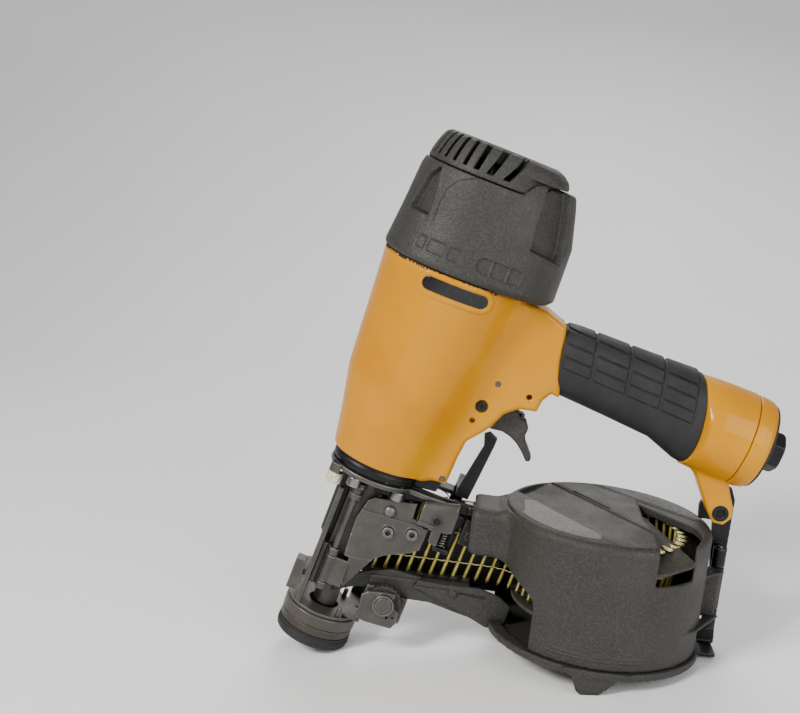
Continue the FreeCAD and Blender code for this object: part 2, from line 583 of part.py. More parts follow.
finish(less("dial_cut", rod("dial_wheel", "dial_radius", "9",
                            ("dial_x", "-22.6", "dial_z"), "y"),
            [rod("dial_bore", "3.05", "12", ("dial_x", "-24", "dial_z"), "y")]
            + [rod(f"dial_notch_{n}", "1.1", "12",
                   (f"dial_x + dial_radius * cos({n * 30})", "-24",
                    f"dial_z + dial_radius * sin({n * 30})"), "y") for n in range(12)]),
       "depth_dial")
finish(less("dial_mount_cut", joined("dial_mount_solid", [
    block("dial_mount_plate", ("26", "2.7", "17"), ("21", "-13.3", "27.5")),
    rod("dial_axle", "3", "10.6", ("dial_x", "-23", "dial_z"), "y"),
    rod("dial_axle_head", "4.4", "1.2", ("dial_x", "-24.1", "dial_z"), "y"),
    block("dial_mount_post", ("3.4", "3.1", "17"), ("21", "-13.3", "19.3")),
    block("dial_mount_foot", ("11", "5", "2"), ("13.4", "-13.3", "19.2"))]),
    [rod("dial_mount_lighten", "2", "9", ("43", "-16", "32"), "y")]), "dial_mount")
spring("contact_spring", 2.3, 0.45, 36.3, 9, (46, 25, 70.5))

# ================================================================ trigger and valve
finish(less("trigger_cut", plate("trigger_solid", "trigger", "-6.6", "6.6"),
            [block("trigger_channel", ("30", "8.4", "12"), ("48", "-4.2", "170.6")),
             rod("trigger_pin_hole", "2.06", "40", ("43.4", "-20", "172.8"), "y"),
             rod("lever_pin_hole", "1.36", "40", ("68.4", "-20", "173.5"), "y")]), "trigger")
lever_plate = plate("lever_solid", "trigger_lever", "-3.6", "3.6")
finish(joined("lever_whole", [lever_plate, rod("lever_trunnion", "1.3", "12.8",
                                               ("68.4", "-6.4", "173.5"), "y")]), "trigger_lever")
finish(less("trigger_pin_cut", rod("trigger_pin_rod", "2", "neck_width - 2",
                                   ("43.4", "-(neck_width - 2) / 2", "172.8"), "y"),
            [hexagon("trigger_pin_key", "2.2", "2", ("43.4", "-(neck_width - 2) / 2 - 0.1", "172.8"),
                     "y")]), "trigger_pin")
finish(less("valve_body_cut", rod("valve_body_tube", "valve_bore_radius - 0.02", "22",
                                  ("valve_x", "0", "187")),
            [rod("valve_body_bore", "3.1", "14", ("valve_x", "0", "186")),
             rod("valve_body_room", "5", "8", ("valve_x", "0", "199"))]), "trigger_valve_body")
finish(joined("valve_stem_solid", [
    rod("valve_stem_rod", "3.02", "17.5", ("valve_x", "0", "182.5")),
    rod("valve_stem_head", "4.6", "2", ("valve_x", "0", "199.4"))]), "valve_stem")
spring("valve_spring", 3.3, 0.45, 4.4, 3, (58, 0, 201.9))
finish(group("housing_pin_set", [
    rod("housing_pin_low", "1.58", "neck_width - 1", ("38.4", "-(neck_width - 1) / 2", "123.4"), "y"),
    rod("housing_pin_top", "1.58", "neck_width - 1", ("47.4", "-(neck_width - 1) / 2", "188.5"),
        "y")]), "housing_pins")

# ================================================================ magazine
wall = "can_wall"
feed_rail = plate("feed_rail_solid", "rail", "-9.5", "9.5")
keel = plate("keel_solid", "keel", "-9.5", "9.5")
tabs = []
for number, (near, far) in enumerate((("-tab_y - tab_thick", "-tab_y"), ("tab_y", "tab_y + tab_thick"))):
    tab = loose_body(f"tab_solid_{number}")
    feature(tab, "Pad", f"tab_pad_{number}", polygon(tab, "tab", f"-({far})"), Length="tab_thick")
    tabs.append(tab)
finish(less("mag_base_cut", joined("mag_base_solid", [
    ring("mag_rim", "rim_radius", "rim_radius - 8", "4.3", ("0", "0", "rim_low_z")),
    rod("mag_floor", "rim_radius - 7", "2.2", ("0", "0", "rim_low_z")),
    rod("mag_post", "5", "46", ("0", "0", "-2.5")), feed_rail, keel] + tabs),
    [block("rail_groove", ("70", "7", "9"), ("channel_start_x", "-3.5", "12.4")),
     block("rail_far_pocket", ("46", "8", "8"), ("-124", "4.4", "5.4"))]),
       "magazine_base", MAGAZINE)



def shell(name):
    """The canister's round wall and lid, in one hollow piece."""
    return less(name, joined(name + "_solid", [
        rod(name + "_wall", "can_radius", "can_height - 4", ("0", "0", "0.1")),
        rod(name + "_lid", "can_radius - 2", "4", ("0", "0", "can_height - 4"))]),
        [rod(name + "_room", "can_radius - can_wall", "can_height - 2.7", ("0", "0", "0"))])


cover_shell = less("cover_shell", shell("near_shell"), [
    block("cover_far_half", ("140", "70", "70.6"), ("-70", "0", "-1")),
    block("cover_entry", ("60", "62", "39"), ("-100", "-62", "-1")),
    block("cover_entry_top", ("30", "40", "46"), ("-82", "-30", "-1")),
    block("cover_strip_gap", ("40", "10", "69"), ("-90", "-10", "-1")),
    block("cover_window", ("20", "24", "26"), ("44", "-36", "42"))])
throat = less("throat_cut", joined("throat_solid", [
    block("throat_roof", ("20", "30", "3"), ("-72", "-20", "68.6")),
    block("throat_wall", ("24", "2.4", "28"), ("-72", "-20", "43"))]),
    [rod("throat_clear", "can_radius - can_wall", "60", ("0", "0", "20"))])
finish(joined("cover_solid", [
    cover_shell, throat,
    ring("cover_knuckle", "4", "2.07", "26", ("hinge_x", "0", "22")),
    less("cover_web_cut", block("cover_web", ("7", "4.4", "26"), ("hinge_x - 8.4", "-4.6", "22")),
         [rod("cover_web_pin", "2.07", "30", ("hinge_x", "0", "20"))])]),
    "magazine_cover", MAGAZINE)
finish(less("fixed_wall_cut", less("fixed_tube", rod("fixed_wall_outer", "can_radius", "69",
                                                     ("0", "0", "-0.2")),
                                   [rod("fixed_wall_inner", "can_radius - can_wall", "80",
                                        ("0", "0", "-5"))]),
            [block("fixed_near_half", ("140", "70.4", "80"), ("-70", "-70", "-5")),
             block("fixed_entry", ("30", "14.4", "80"), ("-80", "-1", "-5"))]),
       "magazine_wall", MAGAZINE)
finish(joined("hinge_bracket_solid", [
    plate("bracket_plate_solid", "bracket", "6", "9.6", holes=[("63.1", "83.5", "3.05")]),
    ring("bracket_lug_low", "4", "2", "12", ("hinge_x", "0", "9.6")),
    ring("bracket_lug_high", "4", "2", "12", ("hinge_x", "0", "48.4")),
    block("bracket_web_low", ("3", "4.4", "12"), ("hinge_x - 1.5", "3", "9.6")),
    block("bracket_web_high", ("3", "4.4", "12"), ("hinge_x - 1.5", "3", "48.4")),
    less("bracket_foot_cut", block("bracket_foot", ("13", "24", "2.2"), ("60.2", "-12", "-4.5")),
         [rod("bracket_rim_clear", "rim_radius", "4.5", ("0", "0", "rim_low_z"))])]),
    "magazine_bracket", MAGAZINE)
finish(rod("hinge_pin_rod", "2", "52", ("hinge_x", "0", "9")), "magazine_hinge_pin", MAGAZINE)
finish(socket_screw("bracket_screw", ("196", "-6.2", "164.8"), "3", "16", "5", "3.4", "y"),
       "bracket_bolt")
finish(less("platform_cut", joined("platform_solid", [
    rod("platform_disc", "platform_radius", "2.2", ("0", "0", "platform_z + 1.6")),
    rod("platform_hub", "9", "14", ("0", "0", "platform_z + 1.6"))]),
    [rod("platform_bore", "5.06", "30", ("0", "0", "platform_z"))]), "nail_platform", MAGAZINE)

# ---------------------------------------------------------------- feed channel and feeder
finish(less("channel_cut", plate("back_plate_solid", "back_plate", "9.6", "12.4"),
            [rod("channel_clear", "28.2", "30", ("0", "0", "flange_low_z - 0.1"))]),
       "feed_channel_plate")
finish(less("feed_cylinder_cut", joined("feed_cylinder_solid", [
    rod("feed_cylinder_tube", "7", "30", ("-92", "20", "55"), "x"),
    block("feed_cylinder_foot", ("20", "7", "8"), ("-86", "12.45", "46.5"))]),
    [rod("feed_cylinder_bore", "5.2", "27", ("-93", "20", "55"), "x")]), "feed_cylinder", MAGAZINE)
finish(joined("feed_piston_solid", [
    rod("feed_piston_head", "5.14", "8", ("-88", "20", "55"), "x"),
    rod("feed_piston_rod", "2", "36", ("-122", "20", "55"), "x"),
    block("feed_pawl_carrier", ("8", "5", "10"), ("-122", "19.2", "50"))]), "feed_piston", MAGAZINE)
spring("feed_spring", 3.6, 0.45, 6.0, 5, (-72.4, 20, 55), "x", MAGAZINE)
finish(joined("feed_pawl_solid", [
    block("feed_pawl_arm", ("7.4", "5.6", "12"), ("-121.7", "13.2", "38")),
    rod("feed_pawl_pivot", "1.6", "23.4", ("-118", "17", "26.4"))]), "feed_pawl", MAGAZINE)
finish(joined("feed_cover_solid", [
    block("feed_cover_tower", ("9.6", "10.2", "13"), ("60.9", "-15", "90")),
    rod("feed_cover_boss", "3", "4.4", ("66", "-17.3", "97"), "y")]), "feed_block")


# ---------------------------------------------------------------- nails
def strip_path(distance):
    """Where the nail strip runs, in the magazine frame, and its heading in degrees.

    The strip leaves the nose straight, bends towards the near wall and then winds inwards.
    """
    radius = CELLS["coil_radius"]
    turn = 70.0
    bend = radius * math.sin(math.radians(20)) / (1 - math.cos(math.radians(turn)))
    straight = 157.4 - radius * math.cos(math.radians(20)) - bend * math.sin(math.radians(turn))
    if distance < straight:
        return -157.4 + distance, 0.0, 0.0
    distance -= straight
    if distance < bend * math.radians(turn):
        angle = distance / bend
        return (-157.4 + straight + bend * math.sin(angle), -bend * (1 - math.cos(angle)),
                -math.degrees(angle))
    distance -= bend * math.radians(turn)
    angle = math.radians(200) + distance / (radius - 3)
    wound = radius - 12.6 * (angle - math.radians(200)) / (2 * math.pi)
    return wound * math.cos(angle), wound * math.sin(angle), math.degrees(angle) + 90.0


def nail(x, y, heading):
    """One siding nail, leaning along the strip."""
    radius, head = CELLS["nail_radius"], CELLS["nail_head_radius"]
    thick, length = CELLS["nail_head_thick"], CELLS["nail_length"]
    outline = Part.makePolygon([V(0, 0, 0), V(radius, 0, 2.2), V(radius, 0, length - thick),
                                V(head, 0, length - thick), V(head, 0, length), V(0, 0, length),
                                V(0, 0, 0)])
    solid = Part.Face(outline).revolve(V(0, 0, 0), V(0, 0, 1), 360)
    lean = (FreeCAD.Rotation(V(0, 0, 1), heading)
            * FreeCAD.Rotation(V(0, 1, 0), CELLS["coil_angle"]))
    solid.Placement = FreeCAD.Placement(V(x, y, CELLS["nail_tip_z"]), lean)
    return solid


strip_nails, coil_nails = [], []
for number in range(1, 62):
    x, y, heading = strip_path(number * CELLS["nail_pitch"])
    (strip_nails if number < 16 else coil_nails).append(nail(x, y, heading))
for label, nails in (("nail_strip", strip_nails), ("nail_coil", coil_nails)):
    nail_set = doc.addObject("Part::Feature", label + "_shapes")
    nail_set.Shape = Part.makeCompound(nails)
    finish(nail_set, label, MAGAZINE)

# ---------------------------------------------------------------- blank badge and labels
badge = doc.addObject("Part::Feature", "badge_shape")
badge_round = Part.makeCylinder(60, 9.5, V(4.5, 0, 0), V(0, -1, 0))
oval = Part.makePolygon([V(4.5 + 17.5 * math.cos(a * math.pi / 12), -30,
                           231.8 + 4.6 * math.sin(a * math.pi / 12)) for a in range(25)])
oval_block = Part.Face(oval).extrude(V(0, -20, 0))
shell = Part.makeCylinder(43.9, 20, V(0, 0, 222)).cut(Part.makeCone(41.68, 43.36, 20, V(0, 0, 221.5)))
badge.Shape = oval_block.common(shell)
finish(badge, "badge_plate")


def label_patch(turn, chord, outer):
    """A thin blank label on the lid: the part of a disc beyond a chord, turned into place."""
    height = CELLS["can_height"] + 0.02
    beyond = Part.makeBox(outer, 2 * outer, 0.3, V(chord, -outer, height))
    patch = Part.makeCylinder(outer, 0.3, V(0, 0, height)).common(beyond)
    patch.rotate(V(0, 0, 0), V(0, 0, 1), turn)
    return patch


lid_labels = doc.addObject("Part::Feature", "lid_label_shapes")
lid_labels.Shape = Part.makeCompound([label_patch(216.5, 30.6, 56), label_patch(49.6, 40.6, 56)])
finish(lid_labels, "lid_labels", MAGAZINE)

# ---------------------------------------------------------------- checks, then the files
doc.recompute()
for thing in doc.Objects:
    for state in thing.State:
        if state in ("Invalid", "Error"):
            raise RuntimeError(f"{thing.Label} is {state}")

os.makedirs("parts", exist_ok=True)
for thing in subparts:
    shape = thing.Shape
    if shape.isNull() or not shape.isValid() or not shape.Solids:
        raise RuntimeError(f"{thing.Label} has no valid solid")
    shape.exportStep(f"parts/{thing.Label}.step")
    box = shape.optimalBoundingBox(False, False)
    print(f"{thing.Label:22s} {len(shape.Solids):3d} solids {shape.Volume / 1000:8.2f} cm3  "
          f"X {box.XMin:7.1f} {box.XMax:7.1f}  Y {box.YMin:6.1f} {box.YMax:6.1f}  "
          f"Z {box.ZMin:6.1f} {box.ZMax:6.1f}")
whole = Part.makeCompound([thing.Shape for thing in subparts]).optimalBoundingBox(False, False)
print(f"{len(subparts)} nodes, X {whole.XMin:.2f} {whole.XMax:.2f}  "
      f"Y {whole.YMin:.2f} {whole.YMax:.2f}  Z {whole.ZMin:.2f} {whole.ZMax:.2f}")
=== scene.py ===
"""Looks of the pneumatic coil nailer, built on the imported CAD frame."""
import json
import math

import bpy
import numpy as np
from mathutils import Matrix, Vector

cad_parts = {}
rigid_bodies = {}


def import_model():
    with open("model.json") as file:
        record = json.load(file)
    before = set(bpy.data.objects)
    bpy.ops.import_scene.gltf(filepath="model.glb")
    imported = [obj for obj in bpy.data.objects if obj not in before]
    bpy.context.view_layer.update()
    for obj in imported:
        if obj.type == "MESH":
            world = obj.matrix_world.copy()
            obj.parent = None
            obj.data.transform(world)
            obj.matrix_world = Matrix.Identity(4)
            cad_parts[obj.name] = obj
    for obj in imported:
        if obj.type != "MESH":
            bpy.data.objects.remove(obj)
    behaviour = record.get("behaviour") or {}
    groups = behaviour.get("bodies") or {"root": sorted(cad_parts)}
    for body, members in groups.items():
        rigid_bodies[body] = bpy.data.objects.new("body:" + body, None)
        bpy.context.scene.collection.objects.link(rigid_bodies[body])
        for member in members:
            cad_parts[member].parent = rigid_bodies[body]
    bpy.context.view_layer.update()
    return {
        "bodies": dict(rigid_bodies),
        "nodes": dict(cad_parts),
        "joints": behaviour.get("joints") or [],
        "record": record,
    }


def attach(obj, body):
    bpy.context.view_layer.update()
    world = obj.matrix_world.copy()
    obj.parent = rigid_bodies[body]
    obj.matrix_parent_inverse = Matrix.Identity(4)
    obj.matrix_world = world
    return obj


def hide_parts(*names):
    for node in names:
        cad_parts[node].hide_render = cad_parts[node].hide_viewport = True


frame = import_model()
NODES = frame["nodes"]
JOINTS = {joint["name"]: joint for joint in frame["record"]["behaviour"]["joints"]}

# ---- frames
# The tool frame has its origin on the driver's axis, the magazine frame on the canister's.
DEFLECTOR_HEIGHT = 0.305
HINGE_OUT, HINGE_HEIGHT = 0.0686, 0.035
Y = Vector((0, 1, 0))
UP = Vector(JOINTS["contact_arm_press"]["axis"]).normalized()
ASIDE = Y.cross(UP).normalized()
ORIGIN = Vector(JOINTS["deflector_turn"]["pos_m"]) - DEFLECTOR_HEIGHT * UP
MAG_UP = Vector(JOINTS["cover_swing"]["axis"]).normalized()
MAG_ASIDE = Y.cross(MAG_UP).normalized()
MAG_ORIGIN = (Vector(JOINTS["cover_swing"]["pos_m"]) - HINGE_OUT * MAG_ASIDE
              - HINGE_HEIGHT * MAG_UP)


def frame_matrix(aside, up, origin):
    """Maps millimetres in a tilted frame to metres in the row frame."""
    turn = Matrix((aside, Y, up)).transposed().to_4x4()
    return Matrix.Translation(origin) @ turn @ Matrix.Scale(0.001, 4)


TOOL = frame_matrix(ASIDE, UP, ORIGIN)
MAGAZINE = frame_matrix(MAG_ASIDE, MAG_UP, MAG_ORIGIN)

# ---- materials


class Nodes:
    """A short way to write one material's node tree."""

    def __init__(self, name):
        self.material = bpy.data.materials.new(name)
        self.material.use_nodes = True
        self.tree = self.material.node_tree
        self.shader = self.tree.nodes["Principled BSDF"]
        self.coords = self.add("ShaderNodeTexCoord").outputs["Object"]

    def add(self, kind, **settings):
        node = self.tree.nodes.new(kind)
        for key, setting in settings.items():
            setattr(node, key, setting)
        return node

    def link(self, source, target):
        self.tree.links.new(source, target)
        return self

    def noise(self, scale, detail=3.0, roughness=0.55):
        node = self.add("ShaderNodeTexNoise")
        node.inputs["Scale"].default_value = scale
        node.inputs["Detail"].default_value = detail
        node.inputs["Roughness"].default_value = roughness
        self.link(self.coords, node.inputs["Vector"])
        return node.outputs["Fac"]

    def cells(self, scale):
        node = self.add("ShaderNodeTexVoronoi")
        node.inputs["Scale"].default_value = scale
        self.link(self.coords, node.inputs["Vector"])
        return node.outputs["Distance"]

    def spread(self, source, low, high, to_low=0.0, to_high=1.0):
        node = self.add("ShaderNodeMapRange")
        for number, setting in enumerate((low, high, to_low, to_high), 1):
            node.inputs[number].default_value = setting
        self.link(source, node.inputs[0])
        return node.outputs[0]

    def mix(self, factor, first, second):
        node = self.add("ShaderNodeMix", data_type="RGBA")
        self.link(factor, node.inputs[0])
        for socket, colour in ((node.inputs[6], first), (node.inputs[7], second)):
            if isinstance(colour, tuple):
                socket.default_value = (*colour, 1)
            else:
                self.link(colour, socket)
        return node.outputs[2]

    def shaded_in_corners(self, tone, reach=0.009, least=0.3):
        """A colour darkened by painted shade in corners and gaps, found by ambient occlusion."""
        corners = self.add("ShaderNodeAmbientOcclusion", samples=6, only_local=False)
        corners.inputs["Distance"].default_value = reach
        amount = self.spread(corners.outputs["AO"], 0.25, 0.85, least, 1.0)
        return self.mix(amount, (0.0, 0.0, 0.0), tone)

    def edge_wear_and_highlight(self, low=0.52, high=0.6):
        """1 on convex edges, where the colour is paler for wear and for a painted highlight."""
        geometry = self.add("ShaderNodeNewGeometry")
        return self.spread(geometry.outputs["Pointiness"], low, high)

    def bumps(self, *layers):
        """Each layer is (height socket, strength, distance in metres)."""
        normal = None
        for height, strength, distance in layers:
            node = self.add("ShaderNodeBump")
            node.inputs["Strength"].default_value = strength
            node.inputs["Distance"].default_value = distance
            self.link(height, node.inputs["Height"])
            if normal is not None:
                self.link(normal, node.inputs["Normal"])
            normal = node.outputs["Normal"]
        self.link(normal, self.shader.inputs["Normal"])
        return self

    def colour(self, source):
        return self.link(source, self.shader.inputs["Base Color"])

    def rough(self, source):
        return self.link(source, self.shader.inputs["Roughness"])

    def set(self, **settings):
        for key, setting in settings.items():
            self.shader.inputs[key.replace("_", " ")].default_value = setting
        return self


def paint(name, base, deep):
    """Glossy paint with specks of dirt and a little orange peel."""
    n = Nodes(name)
    tone = n.mix(n.spread(n.noise(18, 3), 0.35, 0.7), base, deep)
    grime = n.spread(n.noise(90, 5, 0.7), 0.64, 0.84, 0.0, 0.3)
    tone = n.mix(grime, tone, tuple(c * 0.5 for c in deep))
    n.colour(tone)
    n.rough(n.spread(n.noise(60, 4), 0.3, 0.75, 0.3, 0.46))
    n.bumps((n.noise(420, 2), 0.2, 0.0002), (n.noise(70, 2), 0.15, 0.0005))
    return n.set(Coat_Weight=0.25, Coat_Roughness=0.07, Specular_IOR_Level=0.12).material


def moulded(name, base, worn_and_lit, grain=900, strength=0.7, rough=(0.5, 0.68)):
    """Grained, filled plastic, paler on its convex edges for wear and a painted highlight, with
    painted shade in its corners.
    """
    n = Nodes(name)
    tone = n.mix(n.spread(n.noise(30, 4), 0.3, 0.7), base, tuple(c * 1.25 for c in base))
    speck = n.spread(n.noise(grain * 0.9, 2, 0.6), 0.44, 0.66)
    tone = n.mix(speck, tone, tuple(c * 2.0 for c in base))
    # Convex edges paler: partly wear, partly a painted highlight.
    tone = n.mix(n.spread(n.edge_wear_and_highlight(0.53, 0.62), 0, 1, 0, 0.4), tone, worn_and_lit)
    # Painted shade: corners and gaps darkened by ambient occlusion.
    n.colour(n.shaded_in_corners(tone))
    n.rough(n.spread(n.noise(45, 3), 0.3, 0.7, *rough))
    n.bumps((n.cells(grain), strength, 0.00022), (n.noise(grain * 0.6, 3), strength, 0.00025))
    return n.set(Specular_IOR_Level=0.4).material


def steel(name, base, worn_and_lit, metallic=1.0, rough=(0.32, 0.52), grain=500, strength=0.35,
          rust=0.0):
    """Treated steel with blotches, rust, painted shade in its corners, and bright convex edges for
    wear and a painted highlight.
    """
    n = Nodes(name)
    tone = n.mix(n.spread(n.noise(60, 5, 0.65), 0.35, 0.7), base, tuple(c * 0.62 for c in base))
    # Convex edges brighter: partly wear, partly a painted highlight.
    tone = n.mix(n.spread(n.edge_wear_and_highlight(0.51, 0.58), 0, 1, 0, 0.8), tone, worn_and_lit)
    if rust:
        tone = n.mix(n.spread(n.noise(120, 6, 0.7), 0.6, 0.78, 0, rust), tone, (0.19, 0.10, 0.05))
    # Painted shade: corners and gaps darkened by ambient occlusion.
    n.colour(n.shaded_in_corners(tone, 0.006, 0.35))
    n.rough(n.spread(n.noise(110, 4), 0.3, 0.75, *rough))
    n.bumps((n.noise(grain, 3), strength, 0.0002))
    return n.set(Metallic=metallic).material


def rubber(name, base, rough=(0.55, 0.75), grain=1100):
    """Matt rubber with dust in its grain."""
    n = Nodes(name)
    tone = n.mix(n.spread(n.noise(50, 4), 0.35, 0.7), base, tuple(c * 1.7 for c in base))
    dust = n.spread(n.noise(210, 6, 0.8), 0.6, 0.85, 0, 0.25)
    n.colour(n.mix(dust, tone, (0.09, 0.09, 0.095)))
    n.rough(n.spread(n.noise(80, 3), 0.3, 0.7, *rough))
    n.bumps((n.noise(grain, 2), 0.4, 0.00015))
    return n.set(Specular_IOR_Level=0.35).material


LOOKS = {
    "yellow_casting": paint("yellow_paint", (0.60, 0.265, 0.0), (0.52, 0.20, 0.0)),
    "black_rubber": rubber("grip_rubber", (0.013, 0.013, 0.0135)),
    "dark_plastic": moulded("cap_plastic", (0.021, 0.0198, 0.0172), (0.07, 0.066, 0.06)),
    "black_steel": steel("black_phosphate", (0.010, 0.010, 0.011), (0.11, 0.11, 0.115), 0.5),
    "grey_steel": steel("grey_phosphate", (0.080, 0.076, 0.069), (0.28, 0.27, 0.25), 0.45,
                        rust=0.12),
    "foot_steel": steel("foot_steel", (0.075, 0.071, 0.061), (0.22, 0.21, 0.19), 0.4, rust=0.12),
    "foot_ring": steel("foot_bronze", (0.058, 0.047, 0.038), (0.16, 0.14, 0.12), 0.4, rust=0.15),
    "dull_steel": steel("dull_steel", (0.16, 0.16, 0.16), (0.42, 0.42, 0.42), 0.85, rust=0.1),
    "bright_steel": steel("plated_steel", (0.30, 0.30, 0.30), (0.6, 0.6, 0.6), 1.0, (0.22, 0.38)),
    "aluminium": steel("aluminium", (0.62, 0.62, 0.63), (0.85, 0.85, 0.85), 1.0, (0.3, 0.4)),
    "cream_nylon": moulded("cream_nylon", (0.42, 0.39, 0.28), (0.6, 0.56, 0.44), 700, 0.2),
    "seal_rubber": rubber("seal_rubber", (0.008, 0.008, 0.008), (0.35, 0.5)),
    "spring_steel": steel("spring_steel", (0.12, 0.12, 0.12), (0.5, 0.5, 0.5), 1.0, (0.25, 0.4)),
    "brass_nail": steel("brass_coated", (0.60, 0.50, 0.13), (0.85, 0.78, 0.40), 0.8, (0.3, 0.45),
                        rust=0.15),
    "badge_black": moulded("badge_black", (0.006, 0.006, 0.007), (0.03, 0.03, 0.03), 300, 0.1,
                           (0.18, 0.3)),
    "label_grey": moulded("label_grey", (0.058, 0.055, 0.047), (0.11, 0.105, 0.095), 600, 0.12,
                          (0.4, 0.55)),
    "label_dark": moulded("label_dark", (0.034, 0.032, 0.027), (0.1, 0.1, 0.09), 600, 0.12,
                          (0.4, 0.55)),
}

for part in frame["record"]["subparts"]:
    node = NODES[part["node"]]
    node.data.materials.clear()
    node.data.materials.append(LOOKS[part["material_slot"]])

# These two look different from the other nodes of their slots.
NODES["contact_rods"].data.materials[0] = LOOKS["foot_steel"]
NODES["housing_pins"].data.materials[0] = LOOKS["black_steel"]


def union(first, second, blend=0.0):
    """Both shapes as one; blend is how wide the fillet between them is."""
    if blend <= 0:
        return np.minimum(first, second)
    mix = np.clip(0.5 + 0.5 * (second - first) / blend, 0, 1)
    return second + (first - second) * mix - blend * mix * (1 - mix)


def cut(first, second, blend=0.0):
    """The first shape without the second."""
    return -union(-first, second, blend)


def common(first, second, blend=0.0):
    """Where both shapes are."""
    return -union(-first, -second, blend)


def rise(source, low, high):
    """0 below low, 1 above high, smooth between."""
    t = np.clip((source - low) / (high - low), 0, 1)
    return t * t * (3 - 2 * t)


def window(source, low, high, edge):
    """1 between low and high, with soft edges."""
    half = edge / 2
    return rise(source, low - half, low + half) * (1 - rise(source, high - half, high + half))


def polygon(u, v, corners):
    """Signed distance to a flat outline."""
    nearest = None
    inside = None
    count = len(corners)
    for number in range(count):
        (au, av), (bu, bv) = corners[number], corners[(number + 1) % count]
        eu, ev = bu - au, bv - av
        t = np.clip(((u - au) * eu + (v - av) * ev) / (eu * eu + ev * ev + 1e-12), 0, 1)
        apart = (u - au - t * eu) ** 2 + (v - av - t * ev) ** 2
        nearest = apart if nearest is None else np.minimum(nearest, apart)
        if ev != 0:
            crossing = ((v >= min(av, bv)) & (v < max(av, bv))
                        & (u < au + (v - av) * eu / ev))
            inside = crossing if inside is None else inside ^ crossing
    return np.sqrt(nearest) * np.where(inside, -1.0, 1.0)


def extruded(flat, along, low, high, radius=0.0):
    """A flat outline's distance, extruded from low to high, its rims rounded."""
    first = flat + radius
    second = np.abs(along - (low + high) / 2) - (high - low) / 2 + radius
    outside = off_axis(np.maximum(first, 0), np.maximum(second, 0))
    return outside + np.minimum(np.maximum(first, second), 0) - radius


def slab(x, y, z, low, high, radius=0.0):
    """A box between two corners, its edges rounded."""
    gaps = [np.abs(c - (lo + hi) / 2) - (hi - lo) / 2 + radius
            for c, lo, hi in zip((x, y, z), low, high)]
    outside = np.sqrt(sum(np.maximum(g, 0) ** 2 for g in gaps))
    return outside + np.minimum(np.maximum(np.maximum(gaps[0], gaps[1]), gaps[2]), 0) - radius


def off_axis(u, v, centre=(0, 0)):
    """Distance from the axis that crosses the u, v plane at centre."""
    return np.sqrt((u - centre[0]) ** 2 + (v - centre[1]) ** 2)


def turned(radial, along, stations, low, high, rounding=0.0):
    """A turned piece whose radius is given at stations along its axis."""
    spots, radii = zip(*stations)
    return extruded(radial - np.interp(along, spots, radii), along, low, high, rounding)


def nets(field, low, step):
    """Surface nets: one vertex for each cell that the surface crosses."""
    shape = np.array(field.shape) - 1
    corners = [(i, j, k) for i in (0, 1) for j in (0, 1) for k in (0, 1)]
    views = [field[i:shape[0] + i, j:shape[1] + j, k:shape[2] + k] for i, j, k in corners]
    filled = sum((view < 0).astype(np.int8) for view in views)
    active = (filled > 0) & (filled < 8)
    values = [view[active] for view in views]
    total = np.zeros((len(values[0]), 3), np.float32)
    count = np.zeros(len(values[0]), np.float32)
    for a in range(8):
        for b in range(a + 1, 8):
            step_between = np.subtract(corners[b], corners[a])
            if np.abs(step_between).sum() != 1:
                continue
            crossed = (values[a] < 0) != (values[b] < 0)
            t = np.where(crossed, values[a] / np.where(crossed, values[a] - values[b], 1), 0)
            for axis in range(3):
                total[:, axis] += crossed * (corners[a][axis] + t * step_between[axis])
            count += crossed
    index = np.full(active.shape, -1, np.int64)
    index[active] = np.arange(len(count))
    points = (total / count[:, None] + np.argwhere(active)) * step + np.array(low)
    faces = []
    for axis in range(3):
        ahead = [slice(None)] * 3
        behind = [slice(None)] * 3
        ahead[axis], behind[axis] = slice(1, None), slice(None, -1)
        first, second = field[tuple(behind)], field[tuple(ahead)]
        sides = [a for a in range(3) if a != axis]
        for inwards in (True, False):
            found = ((first < 0) & (second >= 0)) if inwards else ((first >= 0) & (second < 0))
            spots = np.argwhere(found)
            keep = np.all(spots[:, sides] > 0, axis=1) & np.all(
                spots[:, sides] < shape[sides], axis=1)
            spots = spots[keep]
            ring = []
            for du, dv in ((-1, -1), (0, -1), (0, 0), (-1, 0)):
                cell = spots.copy()
                cell[:, sides[0]] += du
                cell[:, sides[1]] += dv
                ring.append(index[cell[:, 0], cell[:, 1], cell[:, 2]])
            quads = np.stack(ring, 1)
            if inwards == (axis == 1):
                quads = quads[:, ::-1]
            faces.append(quads)
    return points, np.concatenate(faces)


def added(name, data):
    """A new object in the scene."""
    thing = bpy.data.objects.new(name, data)
    bpy.context.scene.collection.objects.link(thing)
    return thing


